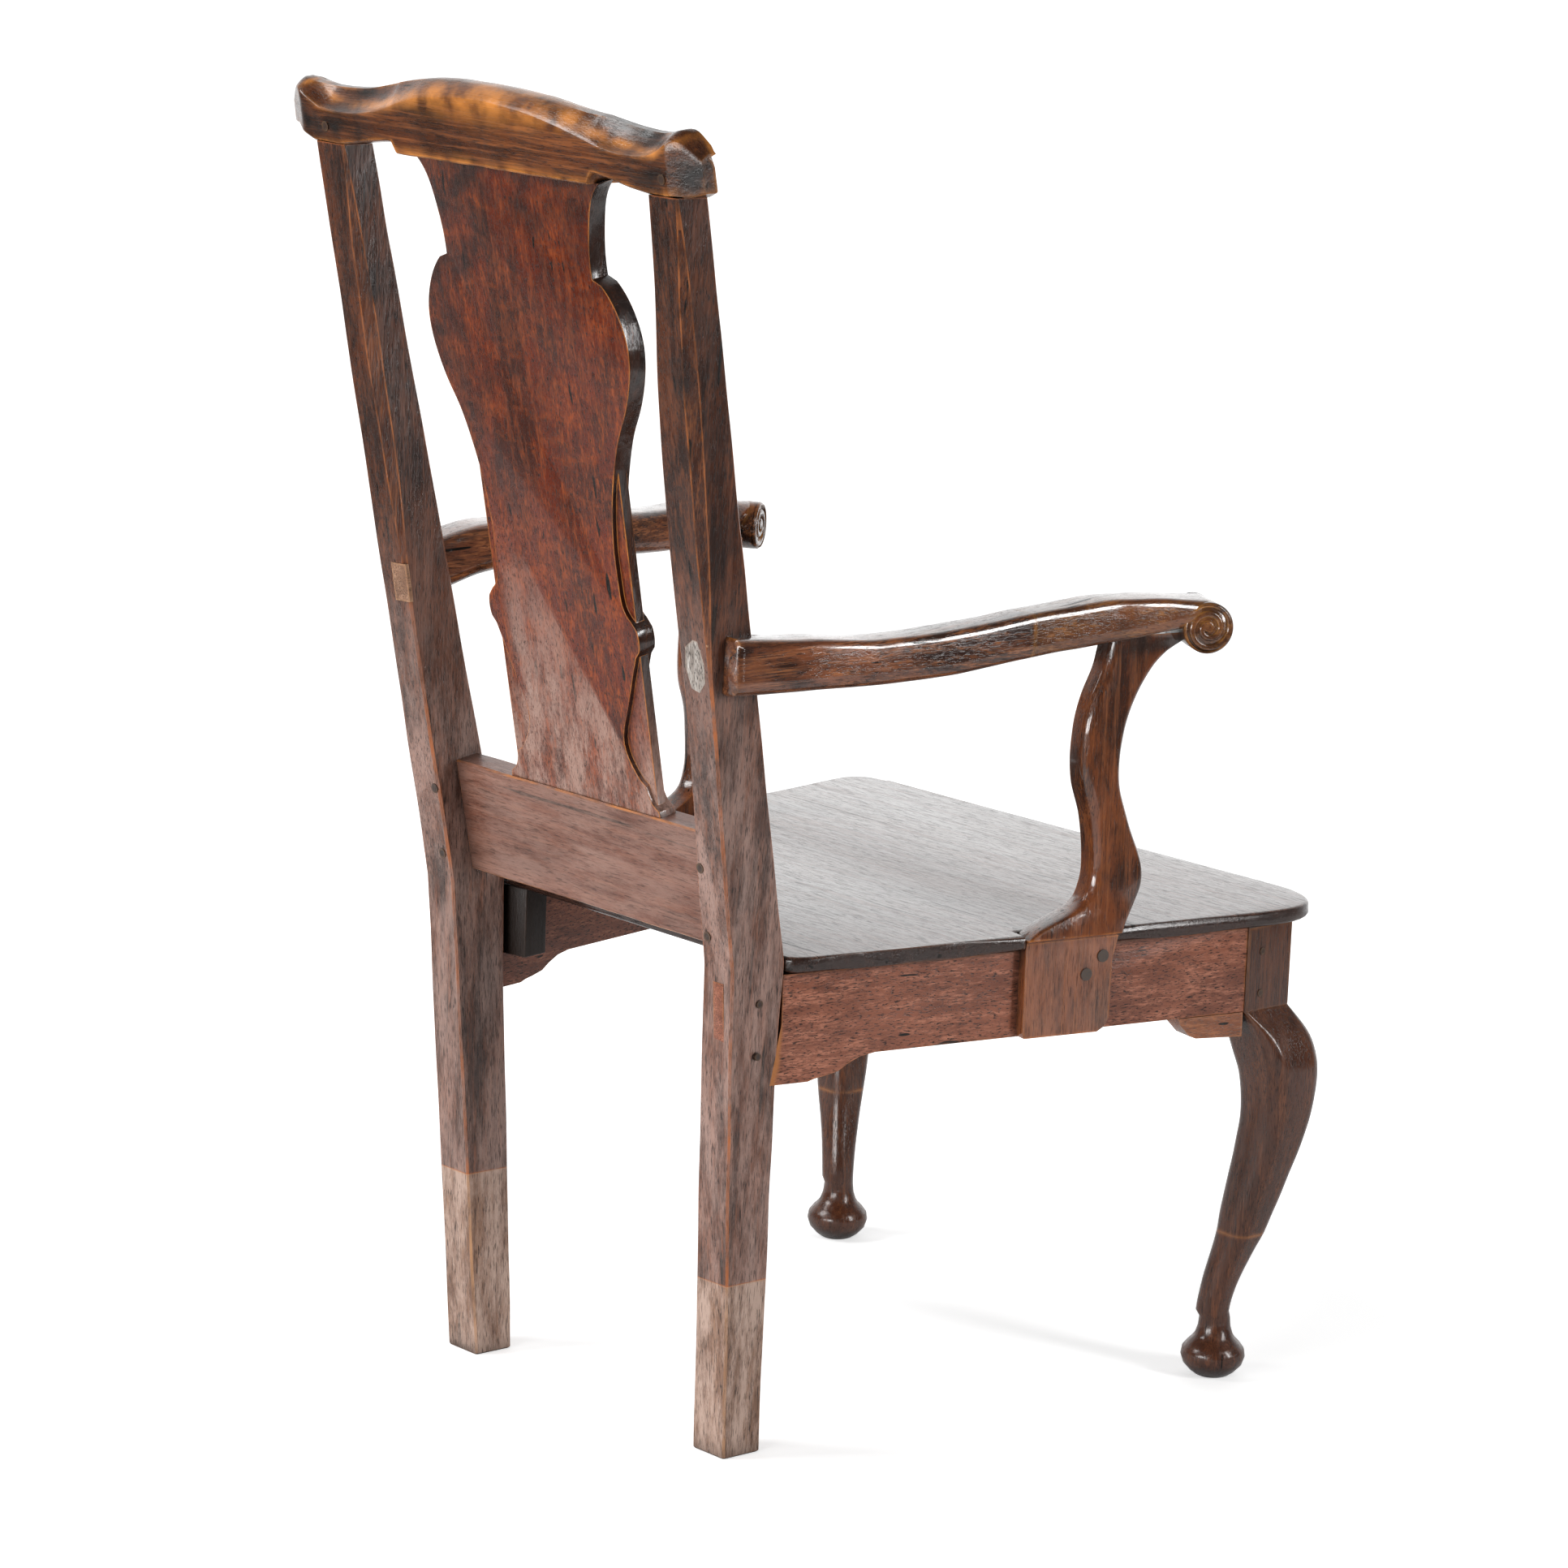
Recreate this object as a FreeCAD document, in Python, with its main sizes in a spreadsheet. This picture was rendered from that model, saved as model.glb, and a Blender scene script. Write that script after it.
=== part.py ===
import FreeCAD, Part
import math
import os
import Sketcher
from FreeCAD import Vector, Placement, Rotation

# Open armchair of joined oak: two raked rear posts, a yoke crest over a vase-shaped splat,
# open arms on S-shaped supports, a board seat and two cabriole front legs.
# Millimetres; +Z up, the front of the chair towards -Y, +X the sitter's left.
# Origin on the floor, under the middle of the chair's plan.

doc = FreeCAD.newDocument("armchair")
sheet = doc.addObject("Spreadsheet::Sheet", "sizes")

SIZES = {
    # rear posts
    "back_y": 224.6,
    "bend_z": 402,
    "post_top_z": 1000,
    "post_rake": 105,
    "post_foot_set": 23,
    "post_foot_half": 178,
    "post_bend_half": 193,
    "post_top_half": 223,
    "post_foot_wide": 38,
    "post_bend_wide": 35,
    "post_top_wide": 31,
    "post_foot_deep": 37,
    "post_bend_deep": 54,
    "post_top_deep": 30,
    "post_tip_left": 155,
    "post_tip_right": 144,
    "post_dowel_radius": 9,
    "post_dowel_long": 28,
    # crest rail
    "crest_over": 38,
    "crest_high": 61,
    "crest_deep": 33,
    "crest_tenon_high": 26,
    "crest_tenon_wide": 18,
    "crest_tenon_deep": 11,
    "crest_edge_round": 7,
    # back rail
    "back_rail_low": 4,
    "back_rail_high": 93,
    "back_rail_thick": 22,
    "back_rail_recess": 22,
    "back_rail_tenon_thick": 9,
    "back_rail_tenon_inset": 8,
    "back_rail_tenon_stop": 9,
    # splat
    "splat_half": 123,
    "splat_thick": 16,
    "splat_foot_recess": 24,
    "splat_head_recess": 8,
    "splat_tenon_half": 88,
    "splat_tenon_high": 16,
    "splat_tenon_thick": 8,
    # seat rails and front legs
    "rail_low_z": 321,
    "rail_high": 70,
    "rail_thick": 24,
    "rail_set_in": 2,
    "rail_tenon_thick": 9,
    "rail_tenon_inset": 8,
    "rail_tenon_shoulder": 8,
    "rail_tenon_long": 26,
    "rail_rear_drop": 18,
    "rail_rear_flat": 26,
    "rail_rear_sweep": 60,
    "through_tenon_thick": 12,
    "through_tenon_set": 10,
    "leg_front_y": 306,
    "leg_outer_x": 276,
    "leg_block": 50,
    "leg_tip_left": 132,
    "leg_tip_right": 125,
    "leg_dowel_radius": 8,
    "leg_dowel_long": 24,
    "knee_out": 28,
    "pad_radius": 27,
    "pad_high": 40,
    "bracket_long": 72,
    "bracket_high": 28,
    "bracket_thick": 20,
    # seat board
    "seat_thick": 16,
    "seat_side_over": 10,
    "seat_front_over": 34,
    "seat_corner": 26,
    "seat_edge_round": 5,
    # corner blocks under the seat
    "corner_block": 26,
    "corner_block_high": 58,
    # arms
    "arm_rear_inset": 4,
    "arm_reach": 450,
    "arm_lap": 17,
    "arm_front_over": 18,
    "arm_wide": 40,
    "arm_high": 44,
    "arm_low_z": 619,
    "arm_edge_round": 9,
    "arm_tenon_wide": 16,
    "arm_tenon_high": 32,
    "arm_tenon_set": 10,
    "arm_tenon_rise": 3,
    "scroll_radius": 21,
    "scroll_wide": 44,
    "scroll_turn": 27,
    "scarf_y": 247,
    # arm supports
    "support_thick": 23,
    "support_foot_y": 266,
    "support_foot_wide": 84,
    "support_head_rise": 13,
    "support_shoulder": 8,
    "support_tenon_high": 14,
    "support_tenon_wide": 30,
    "support_tenon_thick": 12,
    "screw_head_radius": 5,
    "screw_head_high": 3,
    "screw_shank_radius": 2.2,
    "screw_long": 32,
    "screw_sink": 4,
    # pegs and fits
    "peg_radius": 4,
    "small_peg_radius": 3,
    "peg_fit": 0.3,
    "peg_proud": 0.6,
    "overrun": 5,
}
for row, (alias, value) in enumerate(SIZES.items(), 1):
    sheet.set("A%d" % row, alias)
    sheet.set("B%d" % row, str(value))
    sheet.setAlias("B%d" % row, alias)
doc.recompute()


def mm(expression):
    """The value of an expression written in the sheet's names."""
    return float(sheet.evalExpression(expression))


def bind(obj, properties):
    for name, expression in properties.items():
        obj.setExpression(name, expression)


def box(name, corner, dims, turn=None):
    """A box whose corner and sides follow the sheet, turned about an axis through that corner."""
    piece = doc.addObject("Part::Box", name)
    bind(piece, dict(zip(("Length", "Width", "Height"), dims)))
    if turn:
        piece.Placement = Placement(Vector(), Rotation(turn[0], 1))
        piece.setExpression("Placement.Rotation.Angle", turn[1])
    bind(piece, dict(zip(("Placement.Base.x", "Placement.Base.y", "Placement.Base.z"), corner)))
    return piece


def peg(name, centre, direction, length, radius):
    """A round peg or hole: centre of one end, direction, length and radius expressions."""
    piece = doc.addObject("Part::Cylinder", name)
    piece.Placement = Placement(Vector(), Rotation(Vector(0, 0, 1), direction))
    bind(piece, {"Radius": radius, "Height": length})
    bind(piece, dict(zip(("Placement.Base.x", "Placement.Base.y", "Placement.Base.z"), centre)))
    return piece


def cut(name, base, tools):
    for number, tool in enumerate(tools):
        step = name if number == len(tools) - 1 else "%s_step%d" % (name, number)
        result = doc.addObject("Part::Cut", step)
        result.Base = base
        result.Tool = tool
        base = result
    return base


def fuse(name, pieces):
    result = doc.addObject("Part::MultiFuse", name)
    result.Shapes = pieces
    result.Refine = True
    return result


def mirror(name, source):
    result = doc.addObject("Part::Mirroring", name)
    result.Source = source
    result.Normal = Vector(1, 0, 0)
    return result


def group(name, pieces):
    result = doc.addObject("Part::Compound", name)
    result.Links = pieces
    return result


def outline_sketch(body, name, role, points, lift=None):
    """A closed outline of straight sides; every corner's two distances follow the sheet."""
    sketch = body.newObject("Sketcher::SketchObject", name)
    plane = [feature for feature in body.Origin.OriginFeatures if feature.Role == role][0]
    sketch.AttachmentSupport = (plane, "")
    sketch.MapMode = "FlatFace"
    if lift:
        sketch.setExpression("AttachmentOffset.Base.z", lift)
    places = [Vector(mm(u), mm(v), 0) for u, v in points]
    count = len(places)
    for number in range(count):
        sketch.addGeometry(Part.LineSegment(places[number], places[(number + 1) % count]))
    for number in range(count):
        sketch.addConstraint(Sketcher.Constraint("Coincident", number, 2, (number + 1) % count, 1))
    for number, (u, v) in enumerate(points):
        for kind, axis, expression in (("DistanceX", -2, u), ("DistanceY", -1, v)):
            if expression == "0":
                sketch.addConstraint(Sketcher.Constraint("PointOnObject", number, 1, axis))
            else:
                place = places[number][0 if kind == "DistanceX" else 1]
                index = sketch.addConstraint(Sketcher.Constraint(kind, -1, 1, number, 1, place))
                sketch.setExpression("Constraints[%d]" % index, expression)
    return sketch


def solid(name, shape):
    """A piece whose shaped surfaces are made from curves drawn from the sheet's values."""
    piece = doc.addObject("Part::Feature", name)
    place = shape.Placement
    piece.Shape = shape
    piece.Placement = place
    return piece


# Directions shared by the raked back and by the splayed side rails.
RAKE = "atan(sizes.post_rake / (sizes.post_top_z - sizes.bend_z))"
SPLAY = ("atan((sizes.leg_outer_x - sizes.post_bend_half) / "
         "(sizes.leg_front_y - sizes.leg_block + sizes.back_y - sizes.post_bend_deep))")
# Where the arm meets the post: its share of the raked length, and the post's outer half-width there.
ARM_SHARE = "((sizes.arm_low_z + sizes.arm_high / 2 - sizes.bend_z) / (sizes.post_top_z - sizes.bend_z))"
POST_AT_ARM = "(sizes.post_bend_half + (sizes.post_top_half - sizes.post_bend_half) * %s)" % ARM_SHARE
ARM_REAR_HALF = "(%s + sizes.arm_lap)" % POST_AT_ARM
ARM_FLARE = "(sizes.leg_outer_x + sizes.arm_front_over - %s)" % ARM_REAR_HALF
ARM_REAR_Y = "(sizes.back_y + sizes.post_rake * %s - sizes.arm_rear_inset)" % ARM_SHARE
SUPPORT_HIGH = "(sizes.arm_low_z + sizes.support_head_rise - sizes.rail_low_z)"
CREST_HALF = "(sizes.post_top_half + sizes.crest_over)"
rake = mm(RAKE)
splay = mm(SPLAY)
back_plane = Placement(Vector(0, mm("sizes.back_y"), mm("sizes.bend_z")), Rotation(Vector(1, 0, 0), -rake))


# Rear posts: sawn from thick plank, square below the seat and raked back above it.
def post_blank(side_name):
    body = doc.addObject("PartDesign::Body", "post_blank_" + side_name)
    sections = (
        ("foot", "0", "sizes.post_foot_half", "sizes.post_foot_wide",
         "sizes.back_y - sizes.post_foot_set", "sizes.post_foot_deep"),
        ("bend", "sizes.bend_z", "sizes.post_bend_half", "sizes.post_bend_wide",
         "sizes.back_y", "sizes.post_bend_deep"),
        ("top", "sizes.post_top_z", "sizes.post_top_half", "sizes.post_top_wide",
         "sizes.back_y + sizes.post_rake", "sizes.post_top_deep"),
    )
    sketches = []
    for label, height, outer, wide, back, deep in sections:
        inner = "%s - %s" % (outer, wide)
        front = "%s - %s" % (back, deep)
        corners = [(outer, front), (outer, back), (inner, back), (inner, front)]
        lift = None if height == "0" else height
        sketches.append(outline_sketch(body, "post_%s_%s" % (label, side_name), "XY_Plane", corners, lift))
    doc.recompute()
    loft = body.newObject("PartDesign::AdditiveLoft", "post_loft_" + side_name)
    loft.Profile = sketches[0]
    loft.Sections = sketches[1:]
    loft.Ruled = True
    body.Tip = loft
    return body


post_left_blank = post_blank("left")
doc.recompute()
post_right_blank = mirror("post_right_blank", post_left_blank)
doc.recompute()


def back_box(name, left, low, recess, wide, thick, high):
    """A box lying in the raked back: distances from the bend, the recess from the posts' backs."""
    piece = doc.addObject("Part::Box", name)
    bind(piece, {"Length": wide, "Width": thick, "Height": high})
    piece.Placement = Placement(Vector(), Rotation(Vector(-1, 0, 0), 1))
    piece.setExpression("Placement.Rotation.Angle", RAKE)
    reach = "(%s + %s)" % (recess, thick)
    piece.setExpression("Placement.Base.x", left)
    piece.setExpression("Placement.Base.y", "sizes.back_y - %s * cos(%s) + (%s) * sin(%s)"
                        % (reach, RAKE, low, RAKE))
    piece.setExpression("Placement.Base.z", "sizes.bend_z + %s * sin(%s) + (%s) * cos(%s)"
                        % (reach, RAKE, low, RAKE))
    return piece


# Back rail: oak board between the rear posts, its back face set in from theirs, tenoned at both ends.
rail_whole = back_box("back_rail_whole", "-sizes.post_bend_half", "sizes.back_rail_low",
                      "sizes.back_rail_recess", "2 * sizes.post_bend_half",
                      "sizes.back_rail_thick", "sizes.back_rail_high")
rail_between = cut("back_rail_between", rail_whole, [post_left_blank, post_right_blank])
rail_tenon = back_box("back_rail_tenon", "sizes.back_rail_tenon_stop - sizes.post_bend_half",
                      "sizes.back_rail_low + sizes.back_rail_tenon_inset",
                      "sizes.back_rail_recess + (sizes.back_rail_thick - sizes.back_rail_tenon_thick) / 2",
                      "2 * (sizes.post_bend_half - sizes.back_rail_tenon_stop)",
                      "sizes.back_rail_tenon_thick",
                      "sizes.back_rail_high - 2 * sizes.back_rail_tenon_inset")
doc.recompute()


# Splat: one plank sawn to a vase outline with a cusp on each shoulder, tenoned into the back rail
# and the crest. Shares of the height above the back rail and of the widest half-width.
vase_shares = [
    [(0.0, 0.76), (0.01, 0.755)],
    [(0.02, 0.70), (0.032, 0.68), (0.048, 0.67)],
    [(0.055, 0.63), (0.075, 0.59), (0.12, 0.565), (0.17, 0.585), (0.215, 0.64), (0.257, 0.71)],
    [(0.268, 0.75), (0.285, 0.762), (0.302, 0.75)],
    [(0.315, 0.705), (0.33, 0.65), (0.37, 0.625), (0.41, 0.62), (0.45, 0.63), (0.51, 0.67),
     (0.565, 0.735), (0.615, 0.82), (0.64, 0.88), (0.675, 0.945), (0.715, 0.992), (0.755, 1.0),
     (0.785, 0.97), (0.815, 0.91), (0.843, 0.81)],
    [(0.85, 0.73), (0.89, 0.737), (0.93, 0.768), (0.97, 0.82), (1.0, 0.92)],
]
splat_low = mm("sizes.back_rail_low + sizes.back_rail_high")
splat_long = (mm("sizes.post_top_z - sizes.bend_z") / math.cos(math.radians(rake))) - splat_low
splat_lean = math.degrees(math.atan(mm("sizes.splat_foot_recess - sizes.splat_head_recess") / splat_long))


def vase_edges(side):
    """The splat's outline on one side, from foot to head: smooth runs joined by short straight steps."""
    edges = []
    last = None
    for run in vase_shares:
        places = [Vector(side * wide * mm("sizes.splat_half"), 0, high * splat_long) for high, wide in run]
        if last:
            edges.append(Part.makeLine(last, places[0]))
        if len(places) == 2:
            edges.append(Part.makeLine(places[0], places[1]))
        else:
            curve = Part.BSplineCurve()
            curve.interpolate(places)
            edges.append(curve.toShape())
        last = places[-1]
    return edges, last


right_edges, right_head = vase_edges(1)
left_edges, left_head = vase_edges(-1)
foot = mm("sizes.splat_half") * vase_shares[0][0][1]
splat_wire = Part.Wire(right_edges + [Part.makeLine(right_head, left_head)] + left_edges[::-1]
                       + [Part.makeLine(Vector(-foot, 0, 0), Vector(foot, 0, 0))])
thick = mm("sizes.splat_thick")
splat_board = Part.Face(splat_wire).extrude(Vector(0, thick, 0))
tenon_half = mm("sizes.splat_tenon_half")
tenon_high = mm("sizes.splat_tenon_high")
tenon_thick = mm("sizes.splat_tenon_thick")
splat_tenon = Part.makeBox(2 * tenon_half, tenon_thick, splat_long + 2 * tenon_high,
                           Vector(-tenon_half, (thick - tenon_thick) / 2, -tenon_high))
splat_shape = splat_board.fuse(splat_tenon).removeSplitter()
splat_shape.Placement = back_plane.multiply(Placement(
    Vector(0, -mm("sizes.splat_foot_recess") - thick, splat_low), Rotation(Vector(1, 0, 0), -splat_lean)))
splat = solid("splat", splat_shape)
back_rail_solid = fuse("back_rail_solid", [rail_between, rail_tenon])
doc.recompute()


# Crest rail: yoke-shaped oak rail resting on the post tops, its ears turned up past the posts.
# Shares of the half length and of the height above the post tops, top edge from ear to middle.
crest_top_shares = [(1.0, 0.55), (0.965, 0.82), (0.90, 0.86), (0.80, 0.83), (0.66, 0.745), (0.56, 0.765),
                    (0.44, 0.87), (0.27, 0.965), (0.0, 1.0)]
crest_ear_shares = [(0.865, -0.12), (0.945, 0.19), (1.0, 0.30), (1.0, 0.55)]


def crest_place(along, high):
    return Vector(along * mm(CREST_HALF), 0, high * mm("sizes.crest_high"))


top_places = [crest_place(a, h) for a, h in crest_top_shares]
top_places += [crest_place(-a, h) for a, h in crest_top_shares[-2::-1]]
top_curve = Part.BSplineCurve()
top_curve.interpolate(top_places)
ear = [crest_place(a, h) for a, h in crest_ear_shares]
other = [crest_place(-a, h) for a, h in crest_ear_shares]
crest_edges = [top_curve.toShape()]
for points in (ear, other):
    crest_edges += [Part.makeLine(points[n], points[n + 1]) for n in range(3)]
crest_edges.append(Part.makeLine(ear[0], other[0]))
crest_wire = Part.Wire(Part.__sortEdges__(crest_edges))
crest_board = Part.Face(crest_wire).extrude(Vector(0, -mm("sizes.crest_deep"), 0))
top_edges = [edge for edge in crest_board.Edges
             if edge.BoundBox.XLength > mm(CREST_HALF) and edge.BoundBox.ZMax > mm("sizes.crest_high / 2")]
crest_board = crest_board.makeFillet(mm("sizes.crest_edge_round"), top_edges)
crest_rise = mm("sizes.post_top_z - sizes.bend_z") / math.cos(math.radians(rake))
crest_board.Placement = back_plane.multiply(Placement(Vector(0, 0, crest_rise), Rotation()))
under_corner = Vector(-2 * mm(CREST_HALF), mm("sizes.back_y + sizes.post_rake - 3 * sizes.crest_high"),
                      mm("sizes.post_top_z - 2 * sizes.crest_high"))
under = Part.makeBox(4 * mm(CREST_HALF), mm("6 * sizes.crest_high"), mm("2 * sizes.crest_high"), under_corner)
crest_blank = solid("crest_blank", crest_board.cut(under))
back_rail = cut("back_rail", back_rail_solid, [splat])
doc.recompute()

# Post tenons that stand up into the crest.
crest_tenon = back_box("crest_tenon",
                       "sizes.post_top_half - (sizes.post_top_wide + sizes.crest_tenon_wide) / 2",
                       "(sizes.post_top_z - sizes.bend_z) / cos(%s) - sizes.crest_tenon_high" % RAKE,
                       "(sizes.post_top_deep - sizes.crest_tenon_deep) / 2",
                       "sizes.crest_tenon_wide", "sizes.crest_tenon_deep", "2 * sizes.crest_tenon_high")
post_left_long = fuse("post_left_long", [post_left_blank, crest_tenon])

# Side rails: planks set on edge, splayed towards the front, deeper in a short swept bracket at the post.
rail_run = ("(sizes.leg_front_y - sizes.leg_block + sizes.back_y - sizes.post_bend_deep) / cos(%s)" % SPLAY)
sweep_shares = [(0.0, 0.0), (0.10, 0.10), (0.25, 0.18), (0.45, 0.32), (0.60, 0.62), (0.78, 0.88), (1.0, 1.0)]
side_body = doc.addObject("PartDesign::Body", "side_rail_body")
rail_start = "-(sizes.overrun + sizes.rail_thick * tan(%s))" % SPLAY
profile = [(rail_start, "sizes.rail_high"), (rail_start, "-sizes.rail_rear_drop")]
profile += [("sizes.rail_rear_flat + %s * sizes.rail_rear_sweep" % a, "%s * sizes.rail_rear_drop" % (h - 1))
            for a, h in sweep_shares[:-1]]
rail_end = "%s + sizes.rail_thick * tan(%s)" % (rail_run, SPLAY)
profile += [("sizes.rail_rear_flat + sizes.rail_rear_sweep", "0"), (rail_end, "0"),
            (rail_end, "sizes.rail_high")]
side_sketch = outline_sketch(side_body, "side_rail_outline", "XZ_Plane", profile)
doc.recompute()
side_pad = side_body.newObject("PartDesign::Pad", "side_rail_pad")
side_pad.Profile = side_sketch
side_pad.setExpression("Length", "sizes.rail_thick")
side_body.Tip = side_pad
# The sketch's first axis runs along the rail towards the front, its depth towards the inside.
side_body.Placement = Placement(Vector(), Rotation(Vector(0, 0, 1), -90))
side_body.setExpression("Placement.Rotation.Angle", "-(90 deg - %s)" % SPLAY)
side_body.setExpression("Placement.Base.x", "sizes.post_bend_half - sizes.rail_set_in")
side_body.setExpression("Placement.Base.y", "sizes.back_y - sizes.post_bend_deep")
side_body.setExpression("Placement.Base.z", "sizes.rail_low_z")
doc.recompute()


def rail_box(name, along, inward, low, long, wide, high):
    """A box lying in the splayed side rail: distances from the post's front and the rail's outer face."""
    piece = doc.addObject("Part::Box", name)
    bind(piece, {"Length": long, "Width": wide, "Height": high})
    piece.Placement = Placement(Vector(), Rotation(Vector(0, 0, 1), -90))
    piece.setExpression("Placement.Rotation.Angle", "-(90 deg - %s)" % SPLAY)
    reach = "(%s + %s)" % (inward, wide)
    piece.setExpression("Placement.Base.x",
                        "sizes.post_bend_half - sizes.rail_set_in + (%s) * sin(%s) - %s * cos(%s)"
                        % (along, SPLAY, reach, SPLAY))
    piece.setExpression("Placement.Base.y",
                        "sizes.back_y - sizes.post_bend_deep - (%s) * cos(%s) - %s * sin(%s)"
                        % (along, SPLAY, reach, SPLAY))
    piece.setExpression("Placement.Base.z", low)
    return piece


block_left = box("block_left",
                 ("sizes.leg_outer_x - sizes.leg_block", "-sizes.leg_front_y", "sizes.rail_low_z"),
                 ("sizes.leg_block", "sizes.leg_block", "sizes.rail_high"))
rail_left_between = cut("rail_left_between", side_body, [post_left_blank, block_left])
rear_tenon_box = box("rear_tenon_box",
                     ("sizes.post_bend_half - sizes.through_tenon_set - sizes.through_tenon_thick",
                      "sizes.back_y - sizes.post_bend_deep - sizes.overrun",
                      "sizes.rail_low_z - sizes.rail_rear_drop + sizes.rail_set_in"),
                     ("sizes.through_tenon_thick", "sizes.post_bend_deep + 2 * sizes.overrun",
                      "sizes.rail_high + sizes.rail_rear_drop - 2 * sizes.rail_set_in"))
rear_tenon = doc.addObject("Part::Common", "rear_tenon")
rear_tenon.Base = rear_tenon_box
rear_tenon.Tool = post_left_blank
front_tenon = rail_box("front_tenon", "%s - sizes.overrun" % rail_run, "sizes.rail_tenon_shoulder",
                       "sizes.rail_low_z + sizes.rail_tenon_inset",
                       "sizes.rail_tenon_long + sizes.overrun", "sizes.rail_tenon_thick",
                       "sizes.rail_high - 2 * sizes.rail_tenon_inset")
side_rail_left_whole = fuse("side_rail_left_whole", [rail_left_between, rear_tenon, front_tenon])
doc.recompute()

# Front rail: board between the front blocks, its face set back a little, tenoned at both ends.
front_rail_long = "2 * (sizes.leg_outer_x - sizes.leg_block)"
front_board = box("front_board",
                  ("sizes.leg_block - sizes.leg_outer_x", "sizes.rail_set_in - sizes.leg_front_y",
                   "sizes.rail_low_z"),
                  (front_rail_long, "sizes.rail_thick", "sizes.rail_high"))
front_tongue = box("front_tongue",
                   ("sizes.leg_block - sizes.leg_outer_x - sizes.rail_tenon_long + sizes.rail_tenon_shoulder",
                    "sizes.rail_set_in + sizes.rail_tenon_shoulder - sizes.leg_front_y",
                    "sizes.rail_low_z + sizes.rail_tenon_inset"),
                   ("%s + 2 * (sizes.rail_tenon_long - sizes.rail_tenon_shoulder)" % front_rail_long,
                    "sizes.rail_tenon_thick", "sizes.rail_high - 2 * sizes.rail_tenon_inset"))
front_rail_whole = fuse("front_rail", [front_board, front_tongue])
doc.recompute()


# Front legs: square block at the rails, knee swept out along the diagonal, slim ankle, round pad foot.
# Shares: height of the rail's underside, sweep out, half the block, and roundness of the corners.
leg_shares = [(1.0, 0.0, 1.0, 0.10), (0.93, 0.62, 1.10, 0.40), (0.87, 0.88, 1.14, 0.50),
              (0.807, 1.0, 1.08, 0.55), (0.71, 0.96, 0.96, 0.52), (0.62, 0.75, 0.90, 0.55),
              (0.53, 0.48, 0.83, 0.58), (0.445, 0.22, 0.76, 0.65), (0.389, 0.06, 0.70, 0.70),
              (0.34, -0.09, 0.63, 0.72), (0.234, -0.45, 0.54, 0.82), (0.156, -0.62, 0.52, 0.88)]
pad_shares = [(1.0, 0.47), (0.80, 0.62), (0.55, 0.95), (0.35, 1.0), (0.15, 0.86), (0.0, 0.62)]


def round_square(x, y, z, half, corner):
    """A square wire with rounded corners, standing at height z."""
    flat = half - corner
    edges = []
    for number in range(4):
        turn = Rotation(Vector(0, 0, 1), 90 * number)
        start = turn.multVec(Vector(half, -flat, 0))
        end = turn.multVec(Vector(half, flat, 0))
        middle = turn.multVec(Vector(flat + corner / math.sqrt(2), flat + corner / math.sqrt(2), 0))
        after = turn.multVec(Vector(flat, half, 0))
        edges.append(Part.makeLine(start, end))
        edges.append(Part.Arc(end, middle, after).toShape())
    wire = Part.Wire(edges)
    wire.translate(Vector(x, y, z))
    return wire


def leg_curve():
    """The whole leg below its block, from the rails to the floor."""
    x = mm("sizes.leg_outer_x - sizes.leg_block / 2")
    y = mm("sizes.leg_block / 2 - sizes.leg_front_y")
    reach = mm("sizes.knee_out") / math.sqrt(2)
    half = mm("sizes.leg_block / 2")
    wires = [round_square(x + out * reach, y - out * reach, high * mm("sizes.rail_low_z"), side * half,
                          side * corner * half) for high, out, side, corner in leg_shares]
    shin = Part.makeLoft(wires, True, False)
    out = leg_shares[-1][1]
    pad_points = [Vector(share * mm("sizes.pad_radius"), 0, high * mm("sizes.pad_high"))
                  for high, share in pad_shares]
    curve = Part.BSplineCurve()
    curve.interpolate(pad_points)
    ankle_top = leg_shares[-1][0] * mm("sizes.rail_low_z")
    neck = Vector(pad_points[0].x, 0, ankle_top)
    profile = Part.Wire([Part.makeLine(neck, pad_points[0]), curve.toShape(),
                         Part.makeLine(pad_points[-1], Vector()),
                         Part.makeLine(Vector(), Vector(0, 0, ankle_top)),
                         Part.makeLine(Vector(0, 0, ankle_top), neck)])
    pad = Part.Face(profile).revolve(Vector(), Vector(0, 0, 1), 360)
    pad.translate(Vector(x + out * reach, y - out * reach, 0))
    return shin.fuse(pad), x, y, reach


def leg_sweep(height):
    """The leg's sweep along the diagonal at a height, read between the rows of its shares."""
    high = height / mm("sizes.rail_low_z")
    for (top, out_top, _, _), (low, out_low, _, _) in zip(leg_shares, leg_shares[1:]):
        if low <= high <= top:
            return out_low + (out_top - out_low) * (high - low) / (top - low)
    return leg_shares[-1][1]


def split_leg(curve, x, y, reach, tip):
    """The leg above its splice with a round dowel end, and the renewed foot below it."""
    low = Part.makeBox(mm("8 * sizes.leg_block"), mm("8 * sizes.leg_block"), tip,
                       Vector(x - mm("4 * sizes.leg_block"), y - mm("4 * sizes.leg_block"), 0))
    upper = curve.cut(low)
    foot = curve.common(low)
    out = leg_sweep(tip - mm("sizes.leg_dowel_long") / 2)
    centre = Vector(x + out * reach, y - out * reach, tip - mm("sizes.leg_dowel_long"))
    upright = Vector(0, 0, 1)
    dowel = Part.makeCylinder(mm("sizes.leg_dowel_radius"), mm("sizes.leg_dowel_long + sizes.overrun"),
                              centre, upright)
    socket = Part.makeCylinder(mm("sizes.leg_dowel_radius + sizes.peg_fit"),
                               mm("sizes.leg_dowel_long + sizes.peg_fit"),
                               centre - Vector(0, 0, mm("sizes.peg_fit")), upright)
    return upper.fuse(dowel).removeSplitter(), foot.cut(socket)


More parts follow.
